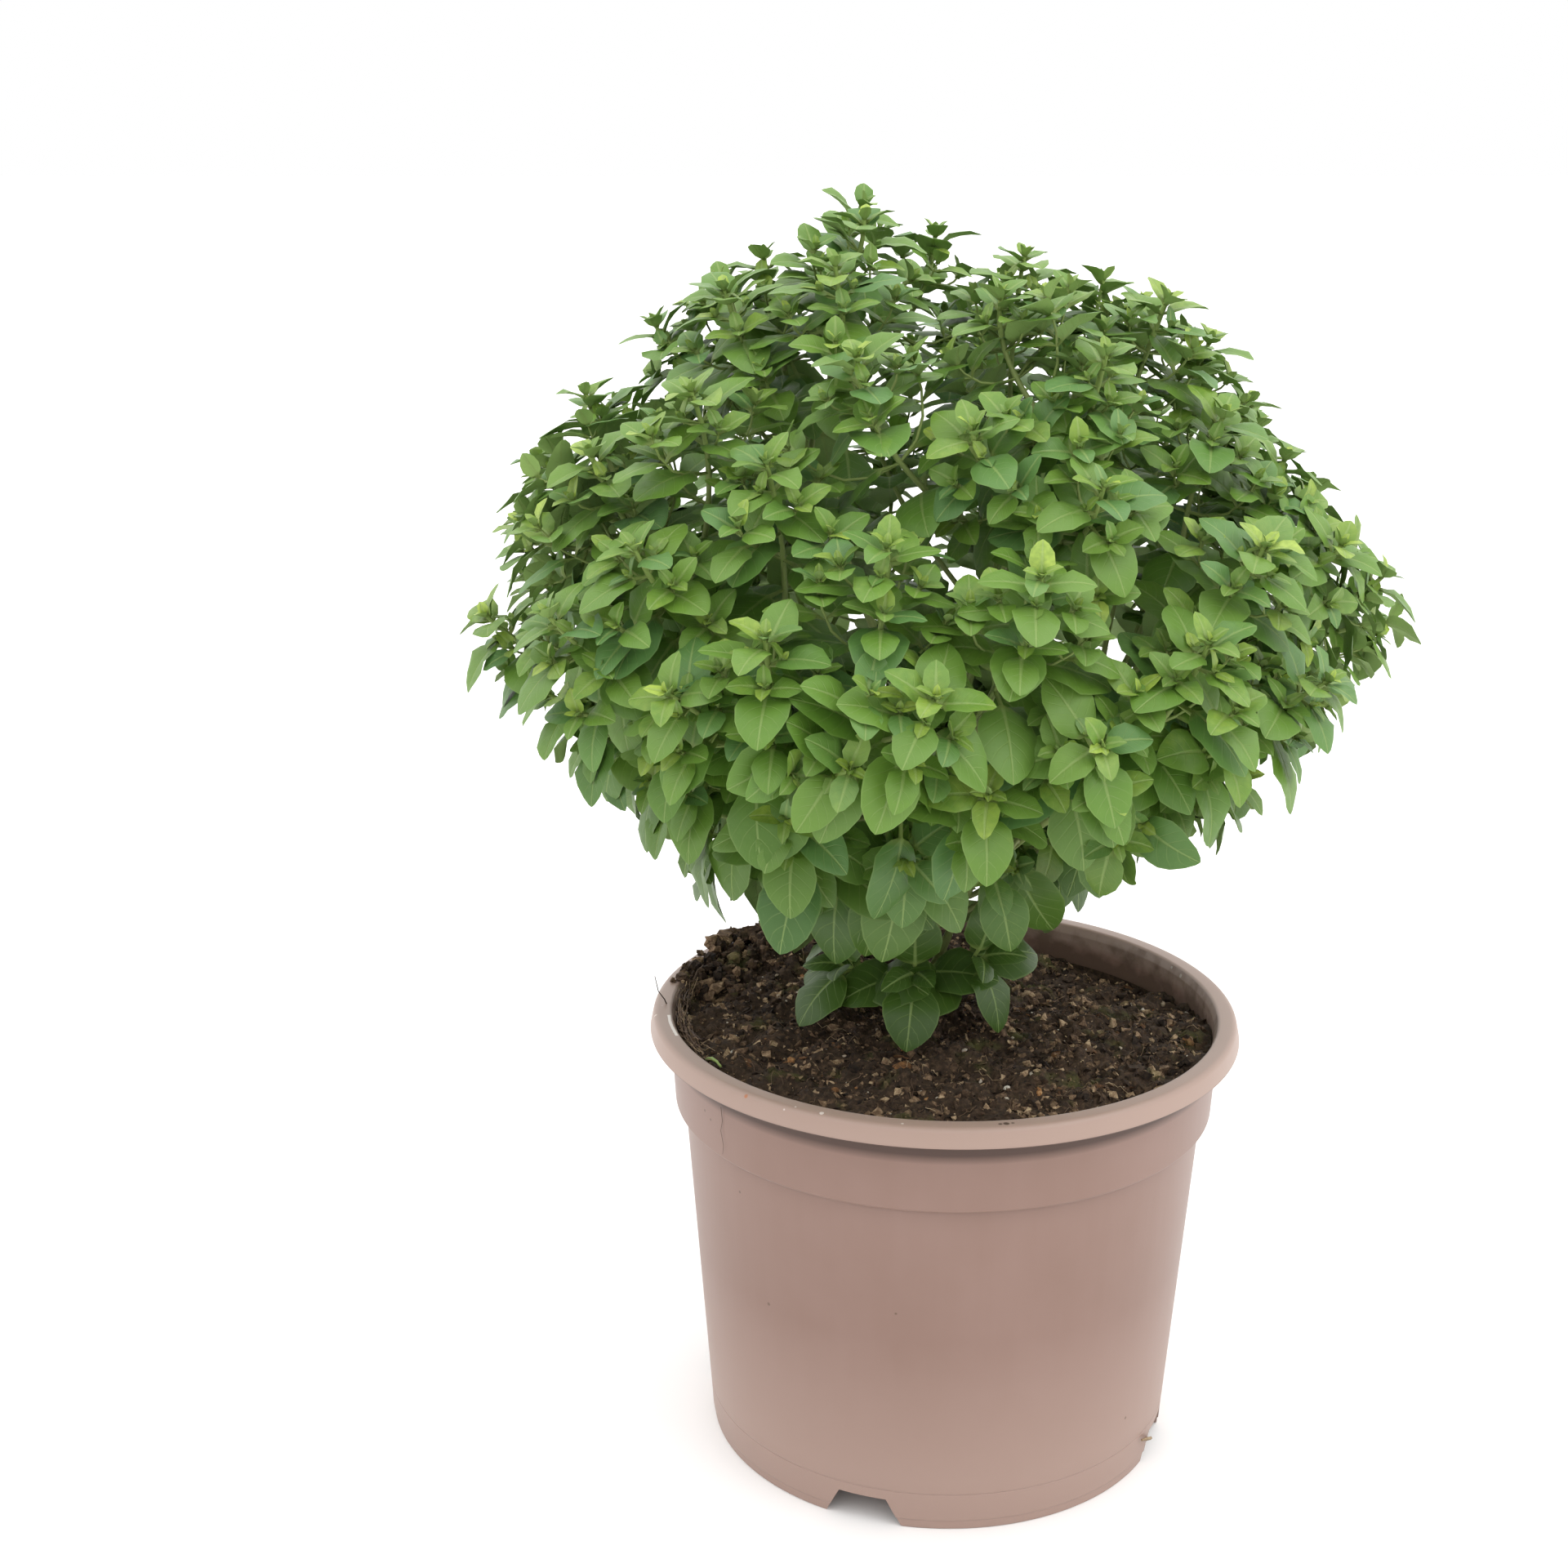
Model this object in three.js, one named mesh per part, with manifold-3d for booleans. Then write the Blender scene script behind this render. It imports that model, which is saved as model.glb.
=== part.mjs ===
// A bush basil in a plastic nursery pot.
// Millimetres, +Z up. The origin is on the floor, on the axis of the pot, under the middle of the crown.
// Each piece is one closed solid: the pot, the block of soil, the trunk, and every stem with its leaves.

import * as THREE from 'three';
import { mergeVertices } from 'three/addons/utils/BufferGeometryUtils.js';
import Module from 'manifold-3d';

const wasm = await Module();
wasm.setup();

// Pot: a tapered body, a wider collar above a step, and a lip that turns down over the collar
const POT_HEIGHT = 107.4;
const POT_SIDES = 40;
const WALL = 1.3;
const LIP_RADIUS = 70;
const LIP_LOWER_EDGE = 102.7;
const LIP_CREST_RADIUS = 69;
const LIP_THICKNESS = 1.4;
const LIP_ROUNDING = 0.8;
const MOUTH_RADIUS = 64.8;
const MOUTH_BEVEL = 2;
const COLLAR_TOP_RADIUS = 65.3;
const COLLAR_FOOT_RADIUS = 64.1;
const COLLAR_FOOT = 85.2;
const BODY_TOP_RADIUS = 61.8;
const BODY_TOP = 84;
const BODY_FOOT_RADIUS = 55.8;
const FOOT_RING_RADIUS = 55.4;
const FOOT_RING_FLARE = 0.1;
const FOOT_RING_TOP = 2.1;
const FOOT_STEP_RISE = 0.5;
const FLOOR_UNDERSIDE = 7.1;
const FLOOR_RADIUS = 54.3;
const INNER_FLOOR_RADIUS = 55.2;
const INNER_STEP_FOOT = 84.6;
const INNER_STEP_TOP = 86.2;

// Four drainage notches in the foot, with a hole through the raised floor behind each
const NOTCH_COUNT = 4;
const FIRST_NOTCH = THREE.MathUtils.degToRad(-111);
const NOTCH_FOOT_WIDTH = 19.5;
const NOTCH_TOP_WIDTH = 11.4;
const NOTCH_TOP = 7;
const NOTCH_DEPTH = 16;
const NOTCH_DEPTH_INSIDE_RING = 12;
const DRAIN_HOLE_RADIUS = 4;
const DRAIN_HOLE_PLACE = 44;
const DRAIN_HOLE_CUT = 8;
const DRAIN_HOLE_SIDES = 8;
const CUTTER_OVERRUN = 1;

// Soil: one block that has shrunk a little from the wall, low at the back and heaped at the left
const SEAT_GAP = 0.3;
const SOIL_RADIUS = 62.4;
const SOIL_FULL_WIDTH_HEIGHT = 87.6;
const SOIL_LEVEL = 103.4;
const SOIL_RINGS = 4;
const SOIL_SIDES = 28;
const SOIL_BUMP = 1.1;
const SOIL_LONG_WAVE = { x: 0.23, y: 0.27, start: 1.3 };
const SOIL_SHORT_WAVE = { x: 0.41, y: -0.33, share: 0.6 };
const SOIL_CROWN = 1.8;
const SOIL_HEAP = { x: -34, y: 44, height: 6.5, spread: 15 };
const SOIL_HOLLOW = { x: 42, y: 36, height: -7, spread: 24 };

// Trunk: thin at the ground, thickest where the first branches leave it
const TRUNK_FOOT = new THREE.Vector3(-7, 5, 90);
const TRUNK_BEND = new THREE.Vector3(-7.5, 4, 125);
const TRUNK_TOP = new THREE.Vector3(-5, 3, 158);
const TRUNK_NECK = { height: 105, radius: 1.25 };
const TRUNK_SWELL = { height: 115, radius: 2.15 };
const TRUNK_TOP_RADIUS = 1.5;
const TRUNK_HOLE_RADIUS = 1.8;
const TRUNK_HOLE_LENGTH = 40;
const TRUNK_HOLE_SIDES = 12;
const TRUNK_SIDES = 8;
const TRUNK_STEPS = 10;

// Crown: the surface that the shoot tips reach. Each row gives its height and how far it lies from the
// crown's axis at the left, at the right, and at the front and back alike.
const CROWN_AXIS = new THREE.Vector3(-5, -1, 0);
const CROWN_ROWS = [
  { height: 292, left: 0, right: 0, front: 0 },
  { height: 288, left: 17, right: 15, front: 16 },
  { height: 281, left: 42, right: 36, front: 38 },
  { height: 272, left: 60, right: 52, front: 55 },
  { height: 261, left: 71, right: 62, front: 66 },
  { height: 249, left: 80, right: 74, front: 76 },
  { height: 237, left: 86, right: 85, front: 85 },
  { height: 225, left: 95, right: 93, front: 93 },
  { height: 214, left: 104, right: 97, front: 98 },
  { height: 204, left: 104, right: 98, front: 100 },
  { height: 193, left: 88, right: 89, front: 93 },
  { height: 183, left: 79, right: 76, front: 83 },
  { height: 173, left: 75, right: 64, front: 71 },
  { height: 164, left: 71, right: 51, front: 58 },
  { height: 156, left: 63, right: 37, front: 44 },
  { height: 149, left: 48, right: 26, front: 31 },
  { height: 143, left: 32, right: 15, front: 17 },
];
const SHOOT_COUNT = 103;
const TIP_SCATTER = 4;
const TIP_LEAN = 0.25;
const AREA_STEPS = 400;
const ROW_STEP = 0.5;
const GOLDEN_ANGLE = Math.PI * (3 - Math.sqrt(5));
const FIRST_BEARING = Math.PI;

// Two shoots stand out from the crown at the right
const STRAY_SHOOTS = [
  { point: new THREE.Vector3(87, 0, 181), direction: new THREE.Vector3(1, 0, -0.25).normalize() },
  { point: new THREE.Vector3(108, 28, 195), direction: new THREE.Vector3(1, 0.25, 0.1).normalize() },
];

// Branches and twigs are square in section, as basil stems are. A radius is half the side of the square.
const SECTION_CORNERS = [[-1, -1], [1, -1], [1, 1], [-1, 1]];
const BRANCH_COUNT = 13;
const BRANCH_TURN = THREE.MathUtils.degToRad(-29);
const LOWEST_BRANCH = 112;
const BRANCH_FOOT_RADIUS = 1.25;
const BRANCH_TIP_RADIUS = 0.55;
const BRANCH_STEPS = 5;
const FIRST_TWIG = 0.34;
const LAST_TWIG = 0.8;
const TWIG_FOOT_RADIUS = 0.7;
const TWIG_TIP_RADIUS = 0.5;
const TWIG_STEPS = 3;
const PLAIN_SECTION_ROOM = 4;
const STEM_SET_OFF = 0.18;
const STEM_ARCH = 0.45;
const UPWARD_PULL = 1.1;
const BRANCH_CLIMB = 1.1;
const TWIG_OPENING = 0.9;
const SLOPING_FOOT_ROOM = 0.8;

// Short side shoots at the foot of the trunk, whose old leaves hang near the soil
const LOW_SHOOT_BEARINGS = [-142, -92, -46, 70, 142];
const LOW_SHOOT_HEIGHT = 108;
const LOW_SHOOT_STEP = 1.4;
const LOW_SHOOT_REACH = 19;
const LOW_SHOOT_LIFT = 12;
const LOW_SHOOT_CLIMB = 0.35;

// Leaves: opposite pairs, each turned a right angle to the next.
// An outline gives, from root to tip, the share of the length and the share of the width there.
const BLADE_THICKNESS = 0.6;
const BLADE_ARCH = 0.25;
const BLADE_DROOP = 0.12;
const LARGE_OUTLINE = [[0, 0.07], [0.45, 1], [0.76, 0.68], [1, 0]];
const SMALL_OUTLINE = [[0, 0.1], [0.52, 1], [1, 0]];
const LEAF_PAIRS = [
  { fromTip: 9, length: 19, width: 11.6, spread: 68, outline: LARGE_OUTLINE, onEvery: 1 },
  { fromTip: 2.5, length: 11.5, width: 7, spread: 50, outline: SMALL_OUTLINE, onEvery: 1 },
  { fromTip: 22.5, length: 21, width: 12.8, spread: 82, outline: LARGE_OUTLINE, onEvery: 3 },
];
const LEAF_FOOT_RADIUS = 0.4;
const LEAST_FOOT_LENGTH = 5;
const LEAST_TIP_LENGTH = 2;
const SIZE_SCATTER = 0.1;

// Leaves are larger and hang more, the lower their shoot is
const FULL_SIZE_HEIGHT = 160;
const SMALL_SIZE_HEIGHT = 240;
const LOWEST_SIZE = 1.04;
const HIGHEST_SIZE = 0.84;
const NO_HANG_HEIGHT = 200;
const HANG_RANGE = 80;
const MOST_HANG = 0.6;

const LEAF_CLEARANCE = 0.95;
const STEM_CLEARANCE = 0.7;
const SOIL_CLEARANCE = 2.5;
const STEM_LINE_COUNT = 10;
const BLADE_REACH = 0.65;
const TESTED_SHARES = [0, 0.25, 0.5, 0.75, 1];
const TURN_CHOICES = [0, 15, -15, 30, -30, 45, -45];
const SPREAD_CHOICES = [0, 12, -12, 24];

// Two points closer than this count as one
const SAME_PLACE = 0.01;

const SEED = 20259;

const up = new THREE.Vector3(0, 0, 1);

// A repeatable draw from 0 to 1 for whatever the keys number
function draw(...keys) {
  let state = SEED;
  for (const key of keys) {
    state = Math.imul(state ^ (key + 1), 0x9E3779B1) >>> 0;
    state = (state ^ (state >>> 15)) >>> 0;
    state = Math.imul(state, 0x85EBCA6B) >>> 0;
    state = (state ^ (state >>> 13)) >>> 0;
  }
  return state / 4294967296;
}

// The same draw, from -1 to 1
function drawEitherWay(...keys) {
  return 2 * draw(...keys) - 1;
}

// A small drawn shift in every direction, from three draws that start at a key
function scatter(size, number, key) {
  const [x, y, z] = [key, key + 1, key + 2].map((axis) => size * drawEitherWay(number, axis));
  return new THREE.Vector3(x, y, z);
}

function levelDirection(bearing) {
  return new THREE.Vector3(Math.cos(bearing), Math.sin(bearing), 0);
}

// A closed geometry as a solid that can be joined and cut
function toSolid(geometry) {
  const bare = geometry.clone();
  bare.deleteAttribute('normal');
  bare.deleteAttribute('uv');
  const merged = mergeVertices(bare, SAME_PLACE / 100);
  const corners = merged.index.array;
  const kept = [];
  for (let i = 0; i < corners.length; i += 3) {
    const [a, b, c] = [corners[i], corners[i + 1], corners[i + 2]];
    if (a !== b && b !== c && c !== a) kept.push(a, b, c);
  }
  return new wasm.Manifold(new wasm.Mesh({
    numProp: 3,
    vertProperties: new Float32Array(merged.getAttribute('position').array),
    triVerts: new Uint32Array(kept),
  }));
}

function toGeometry(solid) {
  const mesh = solid.getMesh();
  const geometry = new THREE.BufferGeometry();
  geometry.setAttribute('position', new THREE.BufferAttribute(mesh.vertProperties, 3));
  geometry.setIndex(new THREE.BufferAttribute(mesh.triVerts, 1));
  geometry.computeVertexNormals();
  return geometry;
}

// A turned shape about +Z from its profile of [radius, height] points
function turned(profile, sides) {
  const points = profile.map(([radius, height]) => new THREE.Vector2(radius, height));
  return new THREE.LatheGeometry(points, sides).rotateX(Math.PI / 2);
}

function moveVertices(geometry, place) {
  const position = geometry.getAttribute('position');
  for (let i = 0; i < position.count; i += 1) {
    const point = new THREE.Vector3().fromBufferAttribute(position, i);
    const moved = place(point);
    position.setXYZ(i, moved.x, moved.y, moved.z);
  }
  return geometry;
}

// A stem is a tapered cylinder bent along a curve, whose radius at each place is radiusAt
function bentStem(curve, radiusAt, sides, steps) {
  const frames = curve.computeFrenetFrames(steps);
  return moveVertices(new THREE.CylinderGeometry(1, 1, 1, sides, steps), (point) => {
    const along = point.y + 0.5;
    const step = Math.round(along * steps);
    const radius = radiusAt(along);
    return curve.getPointAt(along)
      .addScaledVector(frames.normals[step], point.x * radius)
      .addScaledVector(frames.binormals[step], -point.z * radius);
  });
}

// Pot

function potProfile() {
  return [
    [0, FLOOR_UNDERSIDE],
    [FLOOR_RADIUS, FLOOR_UNDERSIDE],
    [FOOT_RING_RADIUS - WALL, 0],
    [FOOT_RING_RADIUS, 0],
    [FOOT_RING_RADIUS + FOOT_RING_FLARE, FOOT_RING_TOP],
    [BODY_FOOT_RADIUS, FOOT_RING_TOP + FOOT_STEP_RISE],
    [BODY_TOP_RADIUS, BODY_TOP],
    [COLLAR_FOOT_RADIUS, COLLAR_FOOT],
    [COLLAR_TOP_RADIUS, POT_HEIGHT - LIP_THICKNESS],
    [LIP_CREST_RADIUS - LIP_THICKNESS, POT_HEIGHT - LIP_THICKNESS],
    [LIP_RADIUS - LIP_THICKNESS, LIP_LOWER_EDGE],
    [LIP_RADIUS, LIP_LOWER_EDGE],
    [LIP_CREST_RADIUS, POT_HEIGHT - LIP_ROUNDING],
    [LIP_CREST_RADIUS - LIP_ROUNDING, POT_HEIGHT],
    [MOUTH_RADIUS, POT_HEIGHT],
    [COLLAR_TOP_RADIUS - WALL, POT_HEIGHT - MOUTH_BEVEL],
    [COLLAR_FOOT_RADIUS - WALL, INNER_STEP_TOP],
    [BODY_TOP_RADIUS - WALL, INNER_STEP_FOOT],
    [INNER_FLOOR_RADIUS, FLOOR_UNDERSIDE + WALL],
    [0, FLOOR_UNDERSIDE + WALL],
  ];
}

// A notch is a block with a trapezoid face, pushed through the foot ring from outside
function notchCutter(angle) {
  const trapezoid = new THREE.Shape([
    new THREE.Vector2(-NOTCH_FOOT_WIDTH / 2, -CUTTER_OVERRUN),
    new THREE.Vector2(NOTCH_FOOT_WIDTH / 2, -CUTTER_OVERRUN),
    new THREE.Vector2(NOTCH_TOP_WIDTH / 2, NOTCH_TOP),
    new THREE.Vector2(-NOTCH_TOP_WIDTH / 2, NOTCH_TOP),
  ]);
  const block = new THREE.ExtrudeGeometry(trapezoid, { depth: NOTCH_DEPTH, bevelEnabled: false });
  block.rotateX(Math.PI / 2).rotateZ(Math.PI / 2)
    .translate(FOOT_RING_RADIUS - NOTCH_DEPTH_INSIDE_RING, 0, 0)
    .rotateZ(angle);
  return toSolid(block);
}

function drainHoleCutter(angle) {
  const hole = new THREE.CylinderGeometry(
    DRAIN_HOLE_RADIUS, DRAIN_HOLE_RADIUS, DRAIN_HOLE_CUT, DRAIN_HOLE_SIDES);
  hole.rotateX(Math.PI / 2).translate(DRAIN_HOLE_PLACE, 0, FLOOR_UNDERSIDE).rotateZ(angle);
  return toSolid(hole);
}

function potSolid() {
  let pot = toSolid(turned(potProfile(), POT_SIDES));
  for (let i = 0; i < NOTCH_COUNT; i += 1) {
    const angle = FIRST_NOTCH + i * 2 * Math.PI / NOTCH_COUNT;
    pot = pot.subtract(notchCutter(angle)).subtract(drainHoleCutter(angle));
  }
  return pot;
}

// Soil

function soilHill(x, y, hill) {
  const square = (x - hill.x) ** 2 + (y - hill.y) ** 2;
  return hill.height * Math.exp(-square / (2 * hill.spread ** 2));
}

function soilHeight(x, y) {
  const fromMiddle = Math.hypot(x, y) / SOIL_RADIUS;
  const long = Math.sin(x * SOIL_LONG_WAVE.x + SOIL_LONG_WAVE.start) * Math.cos(y * SOIL_LONG_WAVE.y);
  const short = SOIL_SHORT_WAVE.share * Math.sin(x * SOIL_SHORT_WAVE.x + y * SOIL_SHORT_WAVE.y);
  return SOIL_LEVEL + SOIL_CROWN * (1 - fromMiddle ** 2) + SOIL_BUMP * (long + short)
    + soilHill(x, y, SOIL_HEAP) + soilHill(x, y, SOIL_HOLLOW);
}

function soilSolid() {
  const floor = FLOOR_UNDERSIDE + WALL + SEAT_GAP;
  const profile = [
    [0, floor],
    [FLOOR_RADIUS, floor],
    [BODY_TOP_RADIUS - WALL - 2 * SEAT_GAP, COLLAR_FOOT - SEAT_GAP],
    [SOIL_RADIUS, SOIL_FULL_WIDTH_HEIGHT],
  ];
  for (let ring = 0; ring <= SOIL_RINGS; ring += 1) {
    profile.push([SOIL_RADIUS * (1 - ring / SOIL_RINGS), SOIL_LEVEL]);
  }
  const block = moveVertices(turned(profile, SOIL_SIDES), (point) => {
    if (point.z > SOIL_LEVEL - SAME_PLACE) point.z = soilHeight(point.x, point.y);
    return point;
  });
  const hole = new THREE.CylinderGeometry(
    TRUNK_HOLE_RADIUS, TRUNK_HOLE_RADIUS, TRUNK_HOLE_LENGTH, TRUNK_HOLE_SIDES);
  hole.rotateX(Math.PI / 2)
    .translate(TRUNK_FOOT.x, TRUNK_FOOT.y, TRUNK_FOOT.z + TRUNK_HOLE_LENGTH / 2 - SEAT_GAP);
  return toSolid(block).subtract(toSolid(hole));
}

// Trunk

const trunkCurve = new THREE.QuadraticBezierCurve3(TRUNK_FOOT, TRUNK_BEND, TRUNK_TOP);

function trunkRadiusAtHeight(height) {
  const { clamp, mapLinear } = THREE.MathUtils;
  if (height < TRUNK_SWELL.height) {
    const lower = clamp(height, TRUNK_NECK.height, TRUNK_SWELL.height);
    return mapLinear(lower, TRUNK_NECK.height, TRUNK_SWELL.height, TRUNK_NECK.radius, TRUNK_SWELL.radius);
  }
  return mapLinear(height, TRUNK_SWELL.height, TRUNK_TOP.z, TRUNK_SWELL.radius, TRUNK_TOP_RADIUS);
}

function trunkRadius(along) {
  return trunkRadiusAtHeight(trunkCurve.getPointAt(along).z);
}

function trunkPointAtHeight(height) {
  return trunkCurve.getPoint(THREE.MathUtils.mapLinear(height, TRUNK_FOOT.z, TRUNK_TOP.z, 0, 1));
}

// Crown surface

// How far the crown reaches at a bearing, and its height, at a row of a given number that may be a fraction
function crownReach(row, bearing) {
  const first = THREE.MathUtils.clamp(Math.floor(row), 0, CROWN_ROWS.length - 2);
  const sideways = Math.cos(bearing);
  const [before, after] = [CROWN_ROWS[first], CROWN_ROWS[first + 1]].map(({ height, left, right, front }) => (
    new THREE.Vector2(THREE.MathUtils.lerp(front, sideways < 0 ? left : right, sideways ** 2), height)));
  return before.lerp(after, row - first);
}

// The crown's point at a share of the way down its rows and a bearing round it, and its outward direction
function crownPlace(share, bearing) {
  const row = share * (CROWN_ROWS.length - 1);
  const here = crownReach(row, bearing);
  const slope = crownReach(row + ROW_STEP, bearing).sub(crownReach(row - ROW_STEP, bearing));
  const outward = levelDirection(bearing);
  return {
    point: CROWN_AXIS.clone().addScaledVector(outward, here.x).addScaledVector(up, here.y),
    normal: outward.multiplyScalar(-slope.y).addScaledVector(up, slope.x).normalize(),
  };
}

// Shares of the way down that spread a number of places evenly over the crown's surface
function evenShares(count) {
  const places = Array.from({ length: AREA_STEPS + 1 }, (unused, i) => (
    crownReach(i / AREA_STEPS * (CROWN_ROWS.length - 1), Math.PI / 2)));
  const areas = [0];
  for (let i = 1; i <= AREA_STEPS; i += 1) {
    areas.push(areas[i - 1] + places[i - 1].distanceTo(places[i]) * (places[i - 1].x + places[i].x) / 2);
  }
  const shares = [];
  let step = 0;
  for (let i = 0; i < count; i += 1) {
    const wanted = areas[AREA_STEPS] * (i + 0.5) / count;
    while (areas[step] < wanted) step += 1;
    shares.push(step / AREA_STEPS);
  }
  return shares;
}

function spiralBearing(number) {
  return FIRST_BEARING + number * GOLDEN_ANGLE;
}

// A shoot's tip lies near the crown's surface and points out of it and a little upwards
function shootTips() {
  const tips = evenShares(SHOOT_COUNT).map((share, number) => {
    const place = crownPlace(share, spiralBearing(number));
    return {
      number,
      point: place.point.add(scatter(TIP_SCATTER, number, 1)),
      direction: place.normal.addScaledVector(up, UPWARD_PULL).add(scatter(TIP_LEAN, number, 4)).normalize(),
    };
  });
  const strays = STRAY_SHOOTS.map((shoot, i) => ({ ...shoot, number: SHOOT_COUNT + i }));
  return [...tips, ...strays];
}

// Branches

// A stem's middle line: it sets off from its foot and arches into the direction of its tip
function stemCurve(foot, setOff, tip) {
  const reach = foot.distanceTo(tip.point);
  const start = foot.clone().addScaledVector(setOff, STEM_SET_OFF * reach);
  const bend = tip.point.clone().addScaledVector(tip.direction, -STEM_ARCH * reach);
  return new THREE.CubicBezierCurve3(foot, start, bend, tip.point);
}

// A branch starts just clear of the trunk, and its first twigs leave it nearest to the trunk
function makeBranch(number, height, tips) {
  const leader = tips[0];
  const base = trunkPointAtHeight(height);
  const outward = leader.point.clone().sub(base).setZ(0).normalize();
  const setOff = outward.clone().addScaledVector(up, BRANCH_CLIMB).normalize();
  const clear = trunkRadiusAtHeight(height) + SEAT_GAP + SLOPING_FOOT_ROOM * BRANCH_FOOT_RADIUS;
  const isTop = number === 0;
  const foot = isTop ? TRUNK_TOP.clone().addScaledVector(up, SEAT_GAP) : base.addScaledVector(outward, clear);
  const curve = stemCurve(foot, isTop ? up : setOff, leader);
  const right = new THREE.Vector3().crossVectors(up, isTop ? new THREE.Vector3(1, 0, 0) : outward);
  const stem = makeStem(leader, curve, right, BRANCH_FOOT_RADIUS, BRANCH_TIP_RADIUS, BRANCH_STEPS);
  tips.slice(1).forEach((tip, i) => {
    const along = THREE.MathUtils.mapLinear(i, 0, tips.length - 1, LAST_TWIG, FIRST_TWIG);
    stem.twigs.push({ at: along * stem.length, tip });
  });
  return stem;
}

// Each branch serves the shoot tips that lie nearest to its own place on the crown
function makeBranches() {
  const places = evenShares(BRANCH_COUNT).map((share, i) => (
    crownPlace(share, spiralBearing(i) + BRANCH_TURN).point));
  const groups = places.map(() => []);
  for (const tip of shootTips()) {
    const distances = places.map((place) => place.distanceTo(tip.point));
    groups[distances.indexOf(Math.min(...distances))].push(tip);
  }
  return groups.map((group, i) => {
    group.sort((a, b) => a.point.distanceTo(places[i]) - b.point.distanceTo(places[i]));
    return makeBranch(i, THREE.MathUtils.mapLinear(i, BRANCH_COUNT - 1, 0, LOWEST_BRANCH, TRUNK_TOP.z), group);
  });
}

function makeLowShoots() {
  return LOW_SHOOT_BEARINGS.map((bearing, i) => {
    const outward = levelDirection(THREE.MathUtils.degToRad(bearing));
    const height = LOW_SHOOT_HEIGHT + i * LOW_SHOOT_STEP;
    const clear = trunkRadiusAtHeight(height) + SEAT_GAP + SLOPING_FOOT_ROOM * TWIG_FOOT_RADIUS;
    const foot = trunkPointAtHeight(height).addScaledVector(outward, clear);
    const point = foot.clone().addScaledVector(outward, LOW_SHOOT_REACH).addScaledVector(up, LOW_SHOOT_LIFT);
    const direction = outward.clone().addScaledVector(up, LOW_SHOOT_CLIMB).normalize();
    const tip = { number: SHOOT_COUNT + STRAY_SHOOTS.length + i, point, direction };
    const right = new THREE.Vector3().crossVectors(up, outward);
    const curve = stemCurve(foot, outward.clone().add(up).normalize(), tip);
    return makeStem(tip, curve, right, TWIG_FOOT_RADIUS, TWIG_TIP_RADIUS, TWIG_STEPS);
  });
}

// Stems

function makeStem(tip, curve, right, footRadius, tipRadius, steps) {
  return { tip, curve, right, footRadius, tipRadius, steps, length: curve.getLength(), twigs: [], leaves: [] };
}

// The square section of a stem at a distance from its foot
function sectionAt(stem, distance) {
  const along = distance / stem.length;
  const middle = stem.curve.getPointAt(along);
  const forward = stem.curve.getTangentAt(along);
  const right = stem.right.clone().projectOnPlane(forward).normalize();
  const top = new THREE.Vector3().crossVectors(forward, right);
  return { middle, forward, right, top, radius: THREE.MathUtils.lerp(stem.footRadius, stem.tipRadius, along) };
}

function sectionCorners({ middle, right, top, radius }) {
  return SECTION_CORNERS.map(([across, upright]) => middle.clone()
    .addScaledVector(right, across * radius)
    .addScaledVector(top, upright * radius));
}

// The direction that a flat side of a stem faces
function sideDirection(section, side) {
  return [
    section.top.clone().negate(), section.right.clone(), section.top.clone(), section.right.clone().negate(),
  ][side];
}

// Turns each twig's place into a stem of its own, which leaves the side that faces its way
function layTwigs(branch) {
  for (const twig of branch.twigs) {
    const section = sectionAt(branch, twig.at);
    const aim = twig.tip.point.clone().addScaledVector(
      twig.tip.direction, -STEM_ARCH * section.middle.distanceTo(twig.tip.point)).sub(section.middle);
    const sides = SECTION_CORNERS.map((corner, side) => side);
    twig.side = sides.reduce((best, side) => (
      sideDirection(section, side).dot(aim) > sideDirection(section, best).dot(aim) ? side : best), 0);
    const outward = sideDirection(section, twig.side);
    const foot = section.middle.clone().addScaledVector(outward, section.radius);
    const setOff = outward.clone().multiplyScalar(TWIG_OPENING).add(section.forward).normalize();
    const right = new THREE.Vector3().crossVectors(section.forward, outward);
    const curve = stemCurve(foot, setOff, twig.tip);
    twig.stem = makeStem(twig.tip, curve, right, TWIG_FOOT_RADIUS, TWIG_TIP_RADIUS, TWIG_STEPS);
  }
}

// Leaves

// How large the leaves of a shoot are beside the measures of a pair
function sizeAtHeight(height) {
  const { clamp, mapLinear } = THREE.MathUtils;
  const within = clamp(height, FULL_SIZE_HEIGHT, SMALL_SIZE_HEIGHT);
  return mapLinear(within, FULL_SIZE_HEIGHT, SMALL_SIZE_HEIGHT, LOWEST_SIZE, HIGHEST_SIZE);
}

// How much a leaf's own weight pulls it down, beside the length of its direction
function hangAtHeight(height) {
  return THREE.MathUtils.clamp((NO_HANG_HEIGHT - height) / HANG_RANGE, 0, MOST_HANG);
}

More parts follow.
